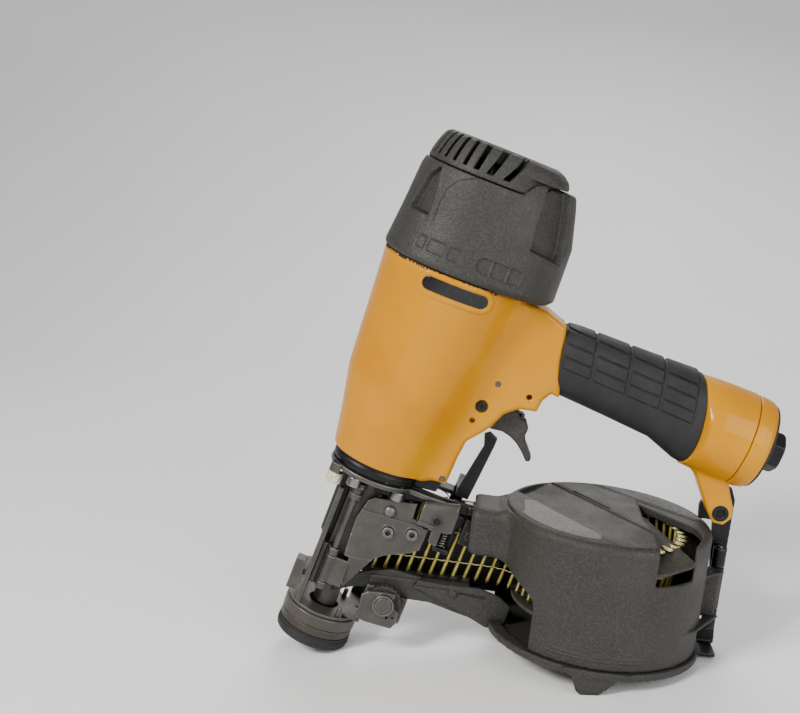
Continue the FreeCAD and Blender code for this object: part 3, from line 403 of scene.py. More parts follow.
def moulding(field, low, high, step, place, body, material, replaces=()):
    """A piece with the name and shape of a field, sampled every step mm between two corners."""
    step = step
    x, y, z = np.meshgrid(*[np.arange(lo - step * 2, hi + step * 3, step, dtype=np.float32)
                            for lo, hi in zip(low, high)], indexing="ij", sparse=True)
    shape = (x.shape[0], y.shape[1], z.shape[2])
    sampled = np.broadcast_to(field(x, y, z), shape).astype(np.float32)
    points, faces = nets(sampled, [lo - step * 2 for lo in low], step)
    mesh = bpy.data.meshes.new(field.__name__)
    mesh.vertices.add(len(points))
    mesh.vertices.foreach_set("co", points.astype(np.float32).ravel())
    mesh.loops.add(faces.size)
    mesh.loops.foreach_set("vertex_index", faces.ravel().astype(np.int32))
    mesh.polygons.add(len(faces))
    mesh.polygons.foreach_set("loop_start", np.arange(0, faces.size, 4, dtype=np.int32))
    mesh.polygons.foreach_set("loop_total", np.full(len(faces), 4, np.int32))
    mesh.update(calc_edges=True)
    mesh.validate()
    mesh.transform(place)
    mesh.materials.append(LOOKS[material])
    mesh.shade_smooth()
    thing = added(field.__name__, mesh)
    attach(thing, body)
    if replaces:
        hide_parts(*replaces)


def eased(node, size, passes):
    """Round a CAD piece's sharp edges: voxels of size millimetres, then smoothing passes."""
    thing = NODES[node]
    remesh = thing.modifiers.new("remesh", "REMESH")
    remesh.mode = "VOXEL"
    remesh.voxel_size = size / 1000 * 1
    remesh.use_smooth_shade = True
    smooth = thing.modifiers.new("smooth", "SMOOTH")
    smooth.factor = 0.5
    smooth.iterations = passes


# ---- housing


def barrel_radius(z):
    """The barrel's taper."""
    return np.interp(z, [110.5, 112.8, 141.2, 166.3, 221.4, 238, 240],
                     [26.9, 28.8, 33.3, 38.3, 41.6, 42.8, 43.2])


NECK = [(10, 237.8), (58.5, 237.8), (67.7, 234.6), (71, 233.8), (82.9, 193.8), (77.8, 194.2),
        (74.8, 188.7), (74.1, 181.4), (64.1, 179), (57.2, 172.8), (53.5, 163.7), (49.5, 157.7),
        (43.2, 149.6), (42.1, 139.2), (41.6, 120.6), (28, 119.6), (26, 121.5), (10, 123)]
SLOT = [(35.5, 108), (45, 108), (46, 139), (50, 152), (58, 162), (64, 172), (78, 178), (78, 186),
        (54, 186), (44, 180), (39.4, 176.6), (39.3, 168), (38.3, 140)]
LUG = [(168.9, 186), (189.2, 162.4), (194.5, 157.6), (200.5, 158.6), (203.6, 164.5), (202.2, 170),
       (196.5, 178), (192, 186)]
BADGE = (4.5, 232.0)
BADGE_HALF = 15.5
HANDLE_HEIGHT = 209
INLET_HEIGHT = 208.5
LUG_BOLT = (196, 164.8)
TRIGGER_AXIS = (43.4, 172.8)
# Holes for pins: x, z, radius, and how far from the middle plane each one stops.
PIN_HOLES = ((66.8, 188, 1.7, 8.3), (47.4, 188.5, 1.7, 12.6), (38.4, 123.4, 1.8, 12.6),
             (41.4, 163, 1.6, 8.3), (*TRIGGER_AXIS, 3.7, 13.2))


def capsule(u, v, centre, half, radius):
    """A flat bar with round ends."""
    return off_axis(np.maximum(np.abs(u - centre[0]) - half, 0), v - centre[1]) - radius


def housing_casting(x, y, z):
    """Barrel, neck, rear bell and bracket lug as one hollow casting."""
    r = off_axis(x, y)
    barrel = extruded(r - barrel_radius(z), z, 118.2, 239.5, 0.7)
    neck = extruded(polygon(x, z, NECK), y, -15.5, 15.5, 3.2)
    body = union(barrel, neck, 9.0)
    ry = np.interp(x, [154, 160, 166, 172, 190.3], [18.2, 21.2, 24.9, 27.2, 27.5])
    rz = np.interp(x, [154, 165, 174, 190.3], [26.4, 27.2, 27.5, 27.5])
    k = np.sqrt((y / ry) ** 2 + ((z - 209.3) / rz) ** 2)
    rear = np.maximum(np.maximum((k - 1) * 22, x - 190.2),
                      (155.6 + 0.125 * (236 - z)) - x + 0.012 * y * y)
    lug = extruded(polygon(x, z, LUG), y, -9.5, 9.5, 2.2)
    core = slab(x, y, z, (66, -11.4, 199.8), (162, 11.4, 228.4), 5)
    body = union(union(body, union(rear, lug, 3.0)), core)
    frame = np.abs(capsule(x, z, BADGE, BADGE_HALF, 5.6)) - 1.1
    frame = np.maximum(np.maximum(frame, r - barrel_radius(z) - 0.9), np.maximum(34 - r, y))
    body = union(body, frame, 1.2)
    chamber = r - np.interp(z, [124.7, 124.8, 130, 143, 166.5, 221, 239],
                            [20.05, 23.05, 23.1, 29, 34.2, 36.9, 37.5])
    body = cut(body, np.maximum(chamber, 100 - z), 0.3)
    body = cut(body, np.maximum(r - 42.55, 238.05 - z))
    body = cut(body, extruded(polygon(x, z, SLOT), y, -8, 8), 0.8)
    for hole_x, hole_z, radius, floor in PIN_HOLES:
        hole = off_axis(x, z, (hole_x, hole_z)) - radius
        body = cut(body, np.maximum(hole, floor - np.abs(y)), 0.5)
    valve_seat = off_axis(x, y, (58, 0)) - 8
    body = cut(body, valve_seat + np.maximum(z - 209, 0) * 9 + np.maximum(170 - z, 0) * 9)
    return cut(body, off_axis(x, z, LUG_BOLT) - 3.1, 0.5)


moulding(housing_casting, (-44, -44, 109), (205, 44, 240), 0.7, TOOL, "tool",
         "yellow_casting", ["main_housing"])


def housing_base_ring(x, y, z):
    """The dark ring under the painted barrel."""
    r = off_axis(x, y)
    body = turned(r, z, [(110, 26.4), (113, 27.6), (115.4, 27.6), (115.9, 27.0), (120, 27.0)],
                  110.6, 121, 0.5)
    corner = polygon(x, z, [(20, 111), (38, 113.6), (39.6, 123), (20, 123)])
    corner = extruded(corner, y, -12, 12, 1)
    body = union(body, corner, 0.8)
    body = cut(body, extruded(polygon(x, z, SLOT), y, -8, 8), 0.4)
    return cut(body, r - 23)


moulding(housing_base_ring, (-29, -29, 110), (41, 29, 124), 0.5, TOOL, "tool", "black_steel")


def badge(x, y, z):
    """A blank badge bent round the barrel."""
    r = off_axis(x, y)
    plate = np.maximum(np.abs(r - barrel_radius(z) - 0.1) - 0.35, y)
    return common(plate, capsule(x, z, BADGE, BADGE_HALF - 0.2, 3.9), 0.4)


moulding(badge, (-18, -44, 225), (27, -34, 239), 0.25, TOOL, "tool",
         "badge_black", ["badge_plate"])

# ---- cap
DEGREES = 180 / math.pi
# The cap's details are in degrees round the axis, then height. ARC is millimetres per degree.
ARC = 0.72
FRONT_POCKET = [(-137, 292.5), (-144.7, 286.5), (-151.5, 265.2), (-127.5, 265.2), (-133.2, 292.5)]
REAR_POCKET = [(-41, 308), (-46.9, 281.6), (-47.2, 268), (-21, 265.2), (-17, 308)]
CELLS = ((-126.5, -118.3), (-116.6, -101.6), (-99.8, -89.6))
CELL_LOW, CELL_HIGH = 247.4, 255.2
BARS = (-66.1, -55.0)


def cap_radius(theta, z):
    """A round front and a rear half-round of its own, 18 mm behind the axis, blended."""
    front = np.interp(z, [239.6, 243, 266, 290, 294.5, 295.2, 304],
                      [43.8, 44.4, 42.2, 40.6, 39.4, 37, 30])
    back = np.interp(z, [239.6, 243.3, 274.3, 295.7, 303.2], [38.6, 41.6, 40, 33.6, 30.8])
    reach = back ** 2 - (18 * np.sin(theta)) ** 2
    far = np.where(reach > 0, 18 * np.cos(theta) + np.sqrt(np.maximum(reach, 0)), 0)
    return -union(-front, -far, 2.0)


def cap_relief(angle, z):
    """Height of the moulded details in mm; angle is in degrees, -180 at the front."""
    u = angle * ARC
    pocket = polygon(u, z, [(a * ARC, height) for a, height in FRONT_POCKET])
    rear = polygon(u, z, [(a * ARC, height) for a, height in REAR_POCKET])
    depth = -3.6 * (1 - rise(pocket, -1.6, 0.1))
    rib = np.abs(angle - np.interp(z, [265, 293.7], [-124.3, -131.3])) * ARC
    depth = depth + 0.55 * (1 - rise(rib, 0.5, 1.4)) * window(z, 262.5, 294.5, 2)
    arch = np.interp(z, [258, 266, 275, 283, 289, 292.3, 294.5],
                     [-121.5, -120.3, -121.2, -119.9, -113.6, -106, -98])
    depth = depth - 0.7 * window(angle, -131, arch, 1.6) * rise(z, 260, 268)
    depth = depth - 5.2 * (1 - rise(rear, -1.2, 0.2))
    lip = 1 - rise(np.abs(rear - 1.2), 0.3, 0.9)
    depth = depth + 0.35 * lip * rise(angle, -50, -44) * rise(280 - z, 0, 8)
    for left, right in CELLS:
        cell = slab(u, z, 0, (left * ARC, CELL_LOW, -1), (right * ARC, CELL_HIGH, 1), 0.8)
        depth = depth - 0.85 * (1 - rise(cell, -0.9, 0.05))
    outline = off_axis(np.maximum(np.abs(u + 61 * ARC) - 11.0 * ARC, 0),
                       np.maximum(np.abs(z - 251.6) - 0.6, 0)) - 4.0
    outline = np.maximum(outline, slab(u, z, 0, (-79 * ARC, 247, -9), (-46 * ARC, 256.2, 9)))
    depth = depth - 0.6 * (1 - rise(outline, -0.9, 0.0))
    depth = depth + 0.35 * (1 - rise(np.abs(outline), 0.2, 0.7))
    for bar in BARS:
        strip = np.maximum(np.abs(u - bar * ARC) - 0.5, outline)
        depth = depth + 0.9 * (1 - rise(strip, -0.3, 0.2))
    return depth


def cap(x, y, z):
    """The engine cap: a moulded shell with a flat top inside a low rim."""
    r = off_axis(x, y)
    theta = np.arctan2(y, x)
    angle = -np.abs(theta) * DEGREES
    outer = r - cap_radius(theta, z) - cap_relief(angle, z)
    top = 294.5 + 8.7 * rise(r, 38.6, 39.2)
    body = extruded(outer, z, 239.7, 303.2, 2.0)
    body = common(body, z - top, 0.6)
    hollow = np.maximum(r - 35.5, z - 262)
    body = cut(body, union(hollow, np.maximum(r - 10, z - 286)))
    return cut(body, r - 3.2)


moulding(cap, (-46, -46, 239), (62, 46, 304), 0.45, TOOL, "tool", "dark_plastic", ["engine_cap"])


def cap_screw_set(x, y, z):
    """Four socket screws inside the cap, at the corners of a square."""
    corner = off_axis(np.abs(x), np.abs(y), (27.9, 27.9))
    head = extruded(corner - 3.4, z, 247.6, 253, 0.5)
    head = cut(head, np.maximum(corner - 1.6, 250.4 - z), 0.2)
    return union(head, extruded(corner - 2.2, z, 238.4, 249))


moulding(cap_screw_set, (-32, -32, 238), (32, 32, 254), 0.4, TOOL, "tool",
         "bright_steel", ["cap_screws"])

# The slanted vents: degrees round the axis at their tops and at their bottoms.
VENT_TOP = [-182, -171, -160, -148.5, -137.5, -127, -115.3, -102.6, -85.6, -64.3]
VENT_LOW = [-182, -171, -160, -149.3, -138.3, -127.4, -116.1, -105, -92.6, -77.9]


def deflector(x, y, z):
    """The turning exhaust cover, with a lobe at the handle side."""
    r = off_axis(x, y)
    angle = np.arctan2(y, x) * DEGREES
    base = np.interp(z, [294.8, 299, 303, 308, 311.5, 313.3], [38.4, 37.9, 36.9, 35.2, 33.4, 31])
    lobe = np.interp(z, [303.6, 303.7, 305.5, 308.5, 311.3, 313.3],
                     [38.4, 43.2, 43.4, 42, 38.6, 34])
    reach = 1 - rise(np.abs(angle), 24, 66)
    body = r - (base + (lobe - base) * reach)
    body = extruded(body, z, 294.8, 313.3, 1.2)
    body = cut(body, np.maximum(r - 29, 312.4 - z), 0.6)
    body = cut(body, np.maximum(r - 7.6, 309.7 - z), 0.3)
    for top, low in zip(VENT_TOP, VENT_LOW):
        line = low + (top - low) * (z - 298.5) / 13.5
        swing = (angle - line + 180) % 360 - 180
        half = 1.15 + 0.45 * (top > -110) + 0.35 * (top > -90)
        vent = np.maximum(np.abs(swing) / DEGREES * r - half, 27 - r)
        vent = np.maximum(vent, 298.3 - z)
        body = cut(body, np.maximum(vent, z - 312.4), 0.5)
    body = cut(body, np.maximum(np.maximum(r - 33.4, z - 305), -z), 0.3)
    return cut(body, r - 3.3)


moulding(deflector, (-40, -40, 294), (45, 40, 314), 0.4, TOOL,
         "exhaust_deflector", "dark_plastic", ["exhaust_deflector"])

# ---- grip


def grip(x, y, z):
    """A hollow sleeve with rows of raised pads."""
    top = np.interp(x, [70, 80, 120, 158, 170], [233.6, 234.6, 235.2, 236.2, 236.4])
    low = np.interp(x, [70, 83, 110, 139.6, 150, 158, 164],
                    [194.2, 193.6, 192.2, 190.2, 186.6, 183.8, 183.2])
    half = np.interp(x, [70, 150, 158, 164], [17.2, 17.2, 18.4, 20.6])
    middle, reach = (top + low) / 2, (top - low) / 2
    k = (np.abs(y / half) ** 2.5 + np.abs((z - middle) / reach) ** 2.5) ** 0.4
    body = (k - 1) * half * 0.92
    drop = z + 0.03 * (x - 90)
    slant = x - 0.2 * (234 - z)
    rows = np.maximum.reduce([window(drop, 225.7, 232.3, 0.7), window(drop, 218.1, 224.9, 0.7),
                              window(drop, 211.4, 217.3, 0.7), rise(drop, 232.8, 233.3)])
    columns = np.maximum.reduce([window(slant, start, stop, 0.8)
                                 for start, stop in ((73, 89.4), (91.6, 110.6), (112.8, 131.6),
                                                     (133.8, 152.4))])
    body = body - 0.85 * rows * columns
    front = np.interp(z, [190, 194, 205, 214, 225, 236], [83.6, 82.4, 77.6, 75, 73, 70.8])
    rear = 155.4 + 0.125 * (236 - z)
    body = common(body, front - x, 0.5)
    body = common(body, x - rear - 0.012 * y * y, 0.5)
    return cut(body, slab(x, y, z, (60, -12.2, 199), (170, 12.2, 229.4), 5.5))


moulding(grip, (69, -23, 182), (166, 23, 238), 0.4, TOOL, "tool", "black_rubber", ["handle_grip"])


def end_cap(x, y, z):
    """The painted cap behind the handle."""
    r = off_axis(y, z, (0, HANDLE_HEIGHT))
    body = turned(r, x, [(190, 27.5), (196, 27.4), (200, 26.6), (202.6, 24.6)], 190.55, 202.5, 0.8)
    body = cut(body, np.maximum(r - 22, x - 197))
    return cut(body, off_axis(y, z, (0, INLET_HEIGHT)) - 9.05)


moulding(end_cap, (190, -28, 181), (203, 28, 237), 0.5, TOOL, "tool",
         "yellow_casting", ["rear_end_cap"])


def rear_rim(x, y, z):
    """The rubber rim round the inlet."""
    r = off_axis(y, z, (0, HANDLE_HEIGHT))
    body = turned(r, x, [(201.5, 25.9), (203.2, 24.8), (204.5, 21)], 201.9, 204.4, 0.6)
    return cut(body, off_axis(y, z, (0, INLET_HEIGHT)) - 9.05)


moulding(rear_rim, (201, -28, 181), (205, 28, 237), 0.4, TOOL, "tool",
         "black_rubber", ["end_bumper"])

# ---- magazine
# VALLEY and FAR_LINE are unit directions across the lid's sunken strip and its far label's edge.
VALLEY = (0.803, 0.595)
FAR_LINE = (0.647, 0.762)
COVER_HINGE = (68.6, 0)
PLATEAU = [(-28.8, 46.5), (-15, 52.2), (0.2, 51.5), (20, 34.0), (20, 25.7), (20.4, -7.4),
           (24.2, -26.5), (23.2, -24.6)]
LID_GAP = [(21.2, 24.4), (50.4, -8.1), (52.8, -18), (51.4, -28), (46.6, -38.2), (50.6, -44.4),
           (26.2, -62.6), (24.6, -57), (24.3, -26), (20.7, -7.4)]
FLAP = [(20.0, -6.4), (46.6, -40), (45.6, -43), (29, -54.6), (24.6, -56.5), (23.4, -50),
        (23.2, -26)]
RIB = [(44, -42.4), (55, -33), (66, -15), (72.6, -4), (66, -2.4), (55, -24)]
SHORT_RIB = [(54, -24), (63, -13), (72.6, -4), (66, -2.4), (58, -12)]


def magazine_shell(x, y, z):
    """The canister cover with its valley, flap, window and hinge knuckle."""
    r = off_axis(x, y)
    angle = np.arctan2(y, x) * DEGREES
    along = VALLEY[0] * x + VALLEY[1] * y
    far = FAR_LINE[0] * x + FAR_LINE[1] * y
    body = extruded(r - 61.6, z, -12, 72.6, 4.6)
    bulge = slab(x, y, z, (-81, -21.5, 41), (-50, 16, 70.4), 5.5)
    body = union(body, np.maximum(bulge, z - 70.4), 7.0)
    body = cut(body, np.maximum(np.abs(r - 60.6) - 0.9, np.maximum(71.4 - z, x + 50)), 0.8)
    body = union(body, extruded(polygon(x, y, PLATEAU), z, 66, 73.3, 0.7), 0.6)
    floor = np.interp(along, [-31.2, -30, -14, 1.6, 2.2, 5.2],
                      [73.5, 69.5, 69.6, 72.6, 74.5, 74.5])
    valley = np.maximum(floor - z, np.maximum(r - 56.5, np.maximum(-along - 31, along - 5)))
    body = cut(body, valley, 0.8)
    crest = np.maximum(np.abs(along - 2.4) - 0.6, np.maximum(r - 56, np.abs(z - 71) - 2.7))
    body = union(body, crest, 0.8)
    body = cut(body, np.maximum(np.maximum(np.abs(far - 38.2) - 0.7, 71.2 - z), r - 54), 0.3)
    slit = np.maximum(np.abs(along - 4.6) - 1.0, np.abs(VALLEY[0] * y - VALLEY[1] * x - 21.3) - 17)
    body = cut(body, np.maximum(slit, 68.4 - z), 0.3)
    for height in (5.4, 7.4):
        bead = np.maximum(np.abs(z - height) - 0.4, np.abs(angle + 93) - 27)
        body = union(body, np.maximum(bead, r - 62.0), 0.3)
    room = union(extruded(r - 59.2, z, -30, 68.0, 2.0),
                 slab(x, y, z, (-100, -18.6, 30), (-50, 30, 67.8), 3.0), 2.0)
    body = cut(body, room)
    body = cut(body, np.maximum(np.maximum(-y, z - 69.4), np.maximum(-x - 58, 58.6 - r)))
    body = cut(body, slab(x, y, z, (-99, -0.2, -20), (-46, 40, 69.0)))
    top = np.interp(angle, [-180, -165, -155, -144.6, -136, -130], [45, 42, 39.6, 36, 32.6, 29])
    entry = common(z - top, (angle + 130.5) / DEGREES * 60, 5.0)
    body = cut(body, np.maximum(entry, y), 1.0)
    body = cut(body, extruded(polygon(x, y, LID_GAP), z, 50.4, 82, 1.6), 0.6)
    flap = np.abs(z - (-0.0313 * x + 0.3095 * y + 75.0)) - 1.1
    body = union(body, extruded(polygon(x, y, FLAP), flap, -50, 0, 0.5), 0.5)
    edge = polygon(x, y, [(20.4, -5.6), (22, -7.6), (46.8, -40.4), (45.8, -39)])
    body = union(body, np.maximum(edge - 0.5, np.abs(flap + 0.6) - 1.2), 0.5)
    for low, high, outline in ((17.4, 19.4, RIB), (45.4, 47.0, SHORT_RIB)):
        body = union(body, extruded(polygon(x, y, outline), z, low, high, 0.8), 0.8)
    knuckle = off_axis(x, y, COVER_HINGE)
    web = slab(x, y, z, (58.6, -5.4, 18), (70, -3.6, 46.6), 0.6)
    web = union(web, slab(x, y, z, (59.6, -4.6, 22.2), (67.4, -0.3, 47.8), 0.8), 1.0)
    body = union(body, union(extruded(knuckle - 4, z, 22.1, 47.9, 0.5), web, 1.0), 1.0)
    body = np.maximum(body, 0.1 - z)
    return cut(body, knuckle - 2.08)


moulding(magazine_shell, (-83, -62.5, -0.5), (74, 62.5, 75), 0.6, MAGAZINE,
         "magazine_cover", "dark_plastic", ["magazine_cover"])

NEAR_LABEL = [(-55.6, 3.4), (-55.3, -5), (-52.6, -18), (-47.7, -28.6), (-41, -37.6),
              (-32.4, -45), (-22.4, -50.6), (-14.8, -52.6), (-8, -52.4), (-6.8, -44.6),
              (-12, -38.4), (-19, -28.4), (-27.6, -17.4), (-34.6, -7.6), (-40.4, 0.6),
              (-43, 4.4)]


def near_label_blank(x, y, z):
    """A blank plate on the near part of the lid."""
    return extruded(polygon(x, y, NEAR_LABEL), z, 72.45, 72.9, 0.2)


moulding(near_label_blank, (-57, -54, 72.3), (-5, 6, 73.1), 0.28, MAGAZINE,
         "magazine_cover", "label_grey", ["lid_labels"])


def far_label_blank(x, y, z):
    """A blank plate beyond the valley, with rows of plain dashes sunk in it."""
    r = off_axis(x, y)
    far = FAR_LINE[0] * x + FAR_LINE[1] * y
    across = FAR_LINE[0] * y - FAR_LINE[1] * x
    body = common(41.2 - far, np.maximum(r - 56.6, np.abs(z - 72.68) - 0.2), 0.3)
    for place, reach, beat in ((43.4, 32, 0), (46.0, 28, 2), (48.8, 21, 1)):
        dash = np.maximum(np.abs(far - place) - 0.55, np.abs(across) - reach)
        dash = np.maximum(dash, 0.35 - np.abs((across + beat * 3) % 7.0))
        body = cut(body, np.maximum(dash, 72.62 - z))
    return body


moulding(far_label_blank, (-16, 8, 72.3), (57, 57, 73.1), 0.28, MAGAZINE,
         "magazine_cover", "label_dark")

# ---- nose door and latch
DOOR_HINGE = (-5.2, -14)
DOOR_SCREWS = ((20.6, 81), (34.4, 85.2))
DOOR = [(1.2, 57.4), (0.2, 70), (-0.2, 82), (2.6, 94.4), (5.6, 97.2), (30.7, 103.2),
        (31.4, 94.0), (38.4, 93.4), (38.6, 91.2), (42.4, 91.2), (41.9, 77.4), (37, 73.4),
        (24, 66.4), (18.3, 61.4), (7.8, 37.7), (5.4, 37.7), (4.6, 57.0)]


def door_plate(x, y, z):
    """A folded plate with a hinge knuckle and two screw bosses."""
    upper = z - 89.6 - 0.09 * (x - 15)
    lower = 57.4 + 0.2 * x - z
    bend = 0.9 * rise(upper, -0.5, 0.5) + 0.04 * np.maximum(upper, 0)
    bend = bend - 0.5 * rise(lower, -0.5, 0.5) + 0.16 * np.maximum(lower, 0)
    body = extruded(polygon(x, z, DOOR), y - bend, -16.0, -13.5, 0.6)
    leaf = slab(x, y, z, (-5.2, -16, 36.8), (6, -13.5, 54), 0.5)
    knuckle = off_axis(x, y, DOOR_HINGE)
    body = union(union(body, leaf, 0.8), extruded(knuckle - 3.2, z, 36.8, 54, 0.4), 0.8)
    for screw in DOOR_SCREWS:
        body = union(body, extruded(off_axis(x, z, screw) - 4.6, y, -16.4, -14, 0.3), 0.6)
    return cut(body, knuckle - 1.65)


moulding(door_plate, (-9, -19, 36), (44, -10, 105), 0.36, TOOL, "nose_door",
         "grey_steel", ["nose_door"])


def door_fixings(x, y, z):
    """Two socket screws and a domed rivet."""
    screws = []
    for place in DOOR_SCREWS:
        far = off_axis(x, z, place)
        head = extruded(far - 3.5, y, -18.3, -16.2, 0.6)
        screws.append(cut(head, np.maximum(far - 1.7, y + 15.4), 0.2))
    body = union(*screws)
    dome = np.sqrt((x - 17.2) ** 2 + (z - 93.0) ** 2 + ((y + 15.2) * 1.5) ** 2) - 3.6
    return union(body, np.maximum(dome, y + 14.6))


moulding(door_fixings, (13, -19, 77), (39, -14, 97), 0.22, TOOL, "nose_door",
         "dull_steel", ["door_screws"])

LATCH_RIVET = (44.5, 100)
LATCH = [(34.2, 99.6), (34.8, 104.6), (53.8, 110.6), (55.2, 109), (55.6, 95.4), (49.6, 93.6),
         (49.8, 84.8), (46.4, 84.6), (44.2, 86), (43.8, 93.4), (34.8, 94.4)]


def latch_plate(x, y, z):
    """The latch: a plate with a rolled top edge, a lip and a rivet."""
    body = extruded(polygon(x, z, LATCH), y, -19.4, -16.6, 0.6)
    roll = off_axis(y, z, (-16.4, 104.2 + 0.31 * (x - 34))) - 3.3
    body = union(body, extruded(roll, x, 34, 54.4, 0.8), 1.6)
    lip = slab(x, y, z, (34.4, -20.4, 93.8), (44.4, -17, 96.2), 0.4)
    rivet = off_axis(x, z, LATCH_RIVET)
    body = union(body, lip, 0.8)
    body = union(body, extruded(rivet - 2.4, y, -21.3, -18, 0.5), 0.4)
    return cut(body, np.maximum(rivet - 1.65, -20.9 - y))


moulding(latch_plate, (33, -21, 83), (57, -12, 115), 0.34, TOOL, "door_latch",
         "grey_steel", ["door_latch"])

# ---- depth dial
DIAL_AXIS = (34.1, 39.5)
DIAL_KNURLS = 22
DIAL_TIP = [(26, 30), (45.6, 40), (46.6, 33), (43.4, 26.4), (27, 24.6)]
DIAL_FRONT = [(19.6, 40.4), (22.6, 43.6), (33, 47.0), (38.6, 47.6), (40.4, 40), (44.2, 37.4),
              (45.2, 31), (43.2, 26.6), (27.4, 24.8), (21.8, 25.4)]
DIAL_BLOCK = [(21.2, 42), (24, 45), (31.5, 46.2), (33, 27.4), (27, 25.8), (21.4, 25.4)]


def dial_wheel(x, y, z):
    """The knurled wheel behind the dial's plate."""
    far = off_axis(x, z, DIAL_AXIS)
    turn = np.arctan2(z - DIAL_AXIS[1], x - DIAL_AXIS[0])
    wheel = extruded(far - 10.4 - 0.35 * np.cos(turn * DIAL_KNURLS), y, -18.6, -13.9, 0.6)
    return cut(wheel, far - 3.06)


moulding(dial_wheel, (23, -23, 28.5), (45.5, -13, 50.5), 0.3, TOOL, "depth_dial",
         "dark_plastic", ["depth_dial"])


def dial_plate(x, y, z):
    """The wheel's bracket and axle, and the plate in front of it."""
    plate = slab(x, y, z, (21, -13.3, 27.6), (47, -10.6, 44.6), 0.8)
    tip = extruded(polygon(x, z, DIAL_TIP), y, -13.3, -10.6, 0.6)
    body = union(plate, tip, 0.5)
    body = union(body, extruded(polygon(x, z, DIAL_BLOCK), y, -13.4, -10.4, 0.8), 0.5)
    body = union(body, slab(x, y, z, (21, -13.3, 19.3), (24.4, -10.2, 36.3), 0.5), 1)
    body = union(body, slab(x, y, z, (13.4, -13.3, 19.25), (24.4, -8.3, 21.2), 0.4), 0.5)
    far = off_axis(x, z, DIAL_AXIS)
    body = union(body, extruded(far - 3, y, -23, -11, 0.2))
    front = extruded(polygon(x, z, DIAL_FRONT), y, -21.2, -18.9, 0.7)
    boss = extruded(far - 6.6, y, -24.1, -20, 0.7)
    boss = cut(boss, np.maximum(np.abs(far - 5.2) - 0.3, y + 23.5), 0.2)
    body = union(body, union(front, boss, 0.8))
    for dot in ((38.6, 32.2), (42.0, 33.6)):
        body = cut(body, np.maximum(off_axis(x, z, dot) - 0.8, y + 18), 0.2)
    return body


moulding(dial_plate, (13, -25, 19), (48, -8, 50), 0.32, TOOL, "contact_arm",
         "grey_steel", ["dial_mount"])

# ---- contact foot
FOOT_BORE = 9


def foot_ring(x, y, z):
    """The foot's upper ring and the two pins that it slides on."""
    r = off_axis(x, y)
    body = turned(r, z, [(9.9, 22.4), (10.2, 23), (16.8, 23), (17.1, 22.6)], 9.9, 17.1, 0.4)
    body = cut(body, np.maximum(r - 20.4, 15.9 - z), 0.6)
    for side in (-15.5, 15.5):
        body = union(body, extruded(off_axis(x, y, (11, side)) - 1.5, z, 12, 25, 0.3))
    return cut(body, r - FOOT_BORE, 0.4)


moulding(foot_ring, (-24, -24, 9), (24, 24, 26), 0.4, TOOL, "foot",
         "foot_steel", ["contact_foot"])


def foot_lower_ring(x, y, z):
    """The foot's darker lower ring."""
    r = off_axis(x, y)
    body = turned(r, z, [(4.2, 21.8), (4.6, 22.6), (9.2, 22.6), (9.6, 21.9), (10, 21.9)],
                  4.3, 9.95, 0.3)
    return cut(body, r - FOOT_BORE, 0.4)


moulding(foot_lower_ring, (-24, -24, 4), (24, 24, 10.5), 0.4, TOOL, "foot",
         "foot_ring")

ROW_IN_TOOL = TOOL.inverted()
FLOOR_UP = (ROW_IN_TOOL.to_3x3() @ Vector((0, 0, 1))).normalized()


def foot_rubber(x, y, z):
    """The foot's rubber, cut flat where it stands on the floor."""
    r = off_axis(x, y)
    body = turned(r, z, [(-3, 22.4), (-1, 23), (1.4, 23), (1.8, 22.1), (3.2, 22.1), (3.6, 22.9)],
                  -3, 4.2, 0.5)
    body = cut(body, r - FOOT_BORE, 0.5)
    start = ROW_IN_TOOL.translation
    height = ((x - start.x) * FLOOR_UP.x + (y - start.y) * FLOOR_UP.y
              + (z - start.z) * FLOOR_UP.z)
    return common(body, 0.02 - height, 0.4)


moulding(foot_rubber, (-24, -24, -3.2), (24, 24, 4.4), 0.4, TOOL, "foot",
         "black_rubber", ["foot_pad"])

# ---- trigger
LEVER_AXIS = (68.4, 173.5)
TRIGGER = [(40.4, 175.2), (46, 178.4), (54, 179.8), (60, 178.2), (72.2, 171.2), (74.5, 168.4),
           (74.2, 164.6), (75.4, 160.8), (82.6, 152.8), (82.4, 150.4), (80.4, 149.6),
           (75.4, 154.4), (71, 157.8), (66.4, 160), (60.9, 161.2), (54, 160.2), (51.4, 161.4),
           (50, 165), (46, 169), (40.4, 170.4)]


def trigger_lever_body(x, y, z):
    """A hollow trigger with bores for its pivot and for the lever's pin."""
    body = extruded(polygon(x, z, TRIGGER), y, -6.6, 6.6, 1.5)
    body = cut(body, slab(x, y, z, (48, -4.2, 168), (72, 4.2, 182.6)), 0.5)
    body = cut(body, off_axis(x, z, TRIGGER_AXIS) - 2.06, 0.2)
    return cut(body, off_axis(x, z, LEVER_AXIS) - 1.36, 0.2)


moulding(trigger_lever_body, (39, -7.2, 147), (84.5, 7.2, 181), 0.36, TOOL,
         "trigger", "dark_plastic", ["trigger"])


def trigger_pivot(x, y, z):
    """The trigger's pin, with a socket head at each side."""
    far = off_axis(x, z, TRIGGER_AXIS)
    body = union(extruded(far - 1.98, y, -14, 14), extruded(far - 3.2, np.abs(y), 13.4, 15.2, 0.5))
    return cut(body, np.maximum(far - 1.3, 14.2 - np.abs(y)), 0.2)


moulding(trigger_pivot, (39, -16, 168), (48, 16, 178), 0.26, TOOL, "tool",
         "black_steel", ["trigger_pin"])

# ---- inlet


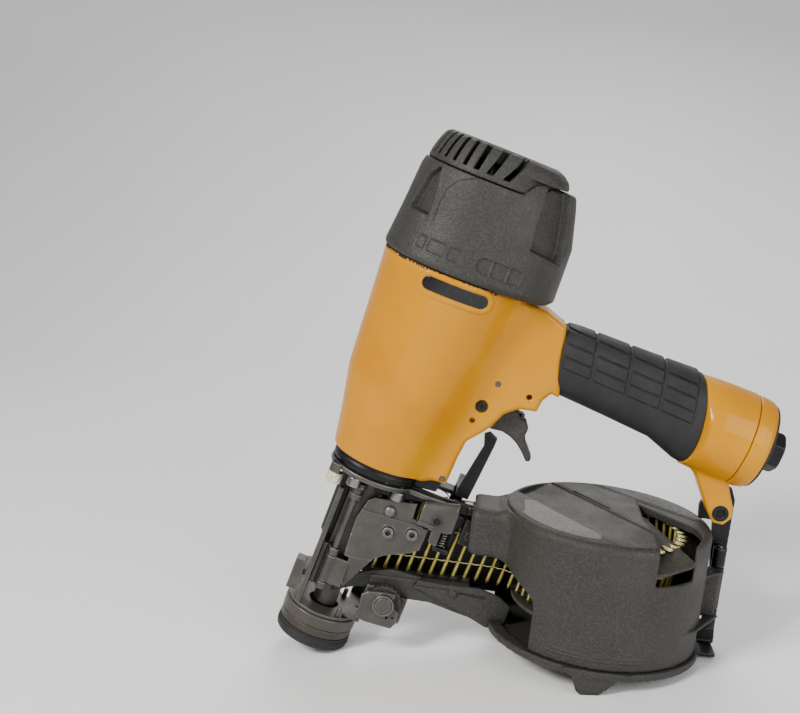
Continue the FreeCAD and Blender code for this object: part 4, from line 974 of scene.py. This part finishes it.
def inlet_hex(x, y, z):
    """A hex bushing with chamfered corners and a ribbed bore for the thread."""
    h = z - INLET_HEIGHT
    r = off_axis(y, h)
    flats = np.maximum.reduce([np.abs(h * math.cos(a) + y * math.sin(a)) - 10.5
                               for a in map(math.radians, (30, 90, 150))])
    crown = r - np.interp(x, [204.6, 206, 212.4, 214.3], [11.4, 12.3, 12.3, 11.0])
    body = extruded(np.maximum(flats, crown), x, 204.6, 214.3, 0.5)
    body = union(body, extruded(r - 9, x, 192, 206))
    return cut(body, r - 5.6 - 0.25 * np.cos(x * 4.2), 0.3)


moulding(inlet_hex, (192, -13, 196), (214.6, 13, 221), 0.34, TOOL, "tool",
         "black_steel", ["air_inlet_bushing"])

# ---- nose details
# These have no CAD node: they are plates and ribs that the photograph shows.


def nose_web(x, y, z):
    """The web in front of the driver's channel."""
    web = polygon(x, z, [(-9, 104), (-18.6, 104), (-18.2, 62), (-15.4, 58), (-15.4, 30), (-9, 30)])
    body = extruded(web, y, 0.5, 5, 0.8)
    return union(body, slab(x, y, z, (-17.6, -3, 62), (-10, 4, 104), 1.0), 0.8)


moulding(nose_web, (-23, -4, 29), (-8, 6, 105), 0.5, TOOL, "tool", "black_steel")


def hinge_rod(x, y, z):
    """The door's hinge pin above its knuckle, with its collars and arm."""
    far = off_axis(x, y, DOOR_HINGE)
    body = turned(far, z, [(59.3, 1.9), (92, 1.9), (92.4, 4.2), (95.6, 4.2), (96, 3.2),
                           (99.4, 3.2), (99.6, 4.6), (103, 4.4)], 59.4, 103, 0.4)
    arm = slab(x, y, z, (-7.4, -14, 93), (-2, -6, 98), 0.8)
    return union(body, arm, 0.8)


moulding(hinge_rod, (-10.5, -19, 59), (0, -5, 104), 0.34, TOOL, "tool", "grey_steel")


def track_side(x, y, z):
    """The near side of the nail track, with its groove, rivet and lip."""
    outline = polygon(x, z, [(47, 53), (58, 51.8), (80, 49.0), (96, 46), (106, 48), (106, 64),
                             (97, 67.4), (84, 67.6), (66, 62.2), (49, 58.4)])
    body = extruded(outline, y, -12, -9.3, 0.8)
    groove = np.abs(z - (60.1 + 0.19 * (x - 73.8))) - 0.7
    body = cut(body, np.maximum(np.maximum(groove, np.abs(x - 82) - 8), y + 10.8), 0.4)
    line = np.abs(z - (54.4 + 0.255 * (x - 48))) - 0.4
    body = cut(body, np.maximum(np.maximum(line, np.abs(x - 58) - 10), y + 11.2), 0.3)
    rivet = off_axis(x, z, (70.6, 58.6)) - 2.6
    body = union(body, extruded(rivet, y, -13.2, -11, 0.4), 0.5)
    lip = polygon(x, z, [(2, 30), (2, 38), (10, 45.4), (22, 52.6), (32, 57), (50, 59), (50, 52),
                         (34, 46), (14, 38)])
    return union(body, extruded(lip, y, -8.4, -5.4, 0.6))


moulding(track_side, (1, -14, 29), (107, -5, 69), 0.4, TOOL, "tool", "dark_plastic")


def nose_side_plate(x, y, z):
    """The long plate under the flange, with two bosses."""
    outline = polygon(x, z, [(4, 99), (20, 100.4), (33, 104.6), (52, 106.4), (73, 107.6),
                             (73, 116), (56, 113), (40, 111.6), (4, 111)])
    body = extruded(outline, y, -11, -8.6, 0.6)
    for place in ((10, 106), (62, 110.6)):
        boss = off_axis(x, z, place) - 2.6
        body = union(body, extruded(boss, y, -12.4, -9, 0.5), 0.6)
    return body


moulding(nose_side_plate, (3, -13, 98), (74, -8, 117), 0.4, TOOL, "tool", "black_steel")


def channel_back(x, y, z):
    """A strip that closes the feed channel behind the nails."""
    return slab(x, y, z, (-78, 8.4, 10), (-58.4, 10.6, 67), 0.6)


moulding(channel_back, (-79, 8, 9), (-57, 11, 68), 0.5, MAGAZINE, "tool", "black_steel")

# CAD nodes that keep their shape and only lose their sharp edges.
for node, size, passes in (("nose_casting", 0.55, 4), ("latch_post", 0.4, 3),
                           ("feed_channel_plate", 0.5, 2), ("feed_block", 0.4, 3),
                           ("feed_cylinder", 0.5, 3), ("rod_tie", 0.36, 3),
                           ("contact_rods", 0.36, 2), ("contact_linkage", 0.5, 3),
                           ("magazine_bracket", 0.5, 3), ("door_hinge_lugs", 0.34, 2),
                           ("magazine_base", 0.6, 4), ("magazine_wall", 0.6, 2),
                           ("nose_screws", 0.3, 2), ("bracket_bolt", 0.3, 2),
                           ("rod_guides", 0.34, 3), ("rod_stops", 0.34, 4),
                           ("trigger_lever", 0.36, 2)):
    eased(node, size, passes)

# ---- collation wires
STRIP_START = -157.4
COIL_RADIUS, COIL_SHRINK = 47, 12.6
COIL_MEAN = 44
COIL_ENTRY = math.radians(200)
BEND = math.radians(70)
LEAN = math.radians(15)
NAILS = 61
HALF_PITCH = 3.5
TIP_HEIGHT = 18.05
WIRE_ASIDE, WIRE_WAVE, WIRE_RADIUS = 1.35, 0.25, 0.00042


def strip_point(distance):
    """The nail strip's path in the magazine frame: straight, a bend, then the coil."""
    tilt = math.radians(20)
    bend = COIL_RADIUS * math.sin(tilt) / (1 - math.cos(BEND))
    straight = -STRIP_START - COIL_RADIUS * math.cos(tilt) - bend * math.sin(BEND)
    if distance < straight:
        return STRIP_START + distance, 0.0, 0.0
    distance -= straight
    if distance < bend * BEND:
        angle = distance / bend
        return (STRIP_START + straight + bend * math.sin(angle), -bend * (1 - math.cos(angle)),
                -angle)
    angle = COIL_ENTRY + (distance - bend * BEND) / COIL_MEAN
    wound = COIL_RADIUS - COIL_SHRINK * (angle - COIL_ENTRY) / (2 * math.pi)
    return wound * math.cos(angle), wound * math.sin(angle), angle + math.pi / 2


def wire(name, height):
    """A welded wire across the nails, at a height above the nail tips."""
    curve = bpy.data.curves.new(name, "CURVE")
    curve.dimensions = "3D"
    curve.bevel_depth = WIRE_RADIUS
    curve.bevel_resolution = 2
    spline = curve.splines.new("POLY")
    ahead = height * math.sin(LEAN)
    points = []
    for number in range(2, 2 * NAILS):
        x, y, heading = strip_point(number * HALF_PITCH)
        points.append(MAGAZINE @ Vector((
            x + ahead * math.cos(heading) + WIRE_ASIDE * math.sin(heading),
            y + ahead * math.sin(heading) - WIRE_ASIDE * math.cos(heading),
            TIP_HEIGHT + height * math.cos(LEAN) + WIRE_WAVE * math.cos(number * math.pi))))
    spline.points.add(len(points) - 1)
    for spot, point in zip(spline.points, points):
        spot.co = (*point, 1)
    curve.materials.append(LOOKS["brass_nail"])
    thing = added(name, curve)
    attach(thing, "tool")


wire("collation_wire_low", 12.0)
wire("collation_wire_high", 31.0)

# ---- floor, light and camera
FLOOR_NEAR, FLOOR_SIDE = -4.0, 6.0
WALL_AT, WALL_CURVE, WALL_TOP = 0.9, 1.2, 5.0
AIM = (0, 0, 0.15)
SKY, SKY_STRENGTH = (0.90, 0.89, 0.87, 1), 0.34
CAMERA_AT = (-0.0107, -0.6804, 0.3073)
CAMERA_FORWARD = (-0.0895, 0.979, -0.1822)
CAMERA_RIGHT = (0.9959, 0.088, -0.0147)

floor_look = Nodes("studio_floor")
floor_look.colour(floor_look.mix(floor_look.spread(floor_look.noise(3, 2), 0.3, 0.7),
                                 (0.88, 0.88, 0.88), (0.91, 0.91, 0.91)))
floor_look.rough(floor_look.spread(floor_look.noise(30, 3), 0.3, 0.7, 0.6, 0.75))


def backdrop():
    """A floor that curves up into a plain wall behind the object."""
    profile = [(FLOOR_NEAR, 0.0), (WALL_AT, 0.0)]
    profile += [(WALL_AT + WALL_CURVE * math.sin(a), WALL_CURVE - WALL_CURVE * math.cos(a))
                for a in np.linspace(0.05, math.pi / 2, 24)]
    profile.append((WALL_AT + WALL_CURVE, WALL_TOP))
    mesh = bpy.data.meshes.new("floor")
    points = [(side, y, z) for y, z in profile for side in (-FLOOR_SIDE, FLOOR_SIDE)]
    mesh.from_pydata(points, [], [(2 * n, 2 * n + 1, 2 * n + 3, 2 * n + 2)
                                  for n in range(len(profile) - 1)])
    mesh.materials.append(floor_look.material)
    mesh.shade_smooth()
    added("floor", mesh)


backdrop()


def area_light(name, at, towards, size, power, tint=(1, 1, 1)):
    """A soft round light; its size is in metres and its power in watts."""
    light = bpy.data.lights.new(name, "AREA")
    light.shape = "DISK"
    light.size = size
    light.energy = power
    light.color = tint
    thing = added(name, light)
    thing.location = at
    thing.rotation_euler = (Vector(towards) - Vector(at)).to_track_quat("-Z", "Y").to_euler()


area_light("key", (-0.95, -1.0, 1.15), AIM, 0.5, 31, (1, 0.98, 0.95))
area_light("fill", (0.9, -1.1, 0.6), (0, 0, 0.12), 1.2, 15, (0.97, 0.98, 1))
area_light("rim", (0.2, 1.2, 1.3), AIM, 1.0, 14)

world = bpy.data.worlds.new("studio")
bpy.context.scene.world = world
world.use_nodes = True
sky = world.node_tree.nodes["Background"]
sky.inputs["Color"].default_value = SKY
sky.inputs["Strength"].default_value = SKY_STRENGTH

camera = bpy.data.cameras.new("camera")
camera.lens = 52.96
camera.sensor_width = 36
camera.clip_start = 0.01
viewer = added("camera", camera)
forward = Vector(CAMERA_FORWARD).normalized()
right = Vector(CAMERA_RIGHT).normalized()
over = right.cross(forward).normalized()
viewer.matrix_world = (Matrix.Translation(CAMERA_AT)
                       @ Matrix((right, over, -forward)).transposed().to_4x4())
bpy.context.scene.camera = viewer

bpy.context.view_layer.update()
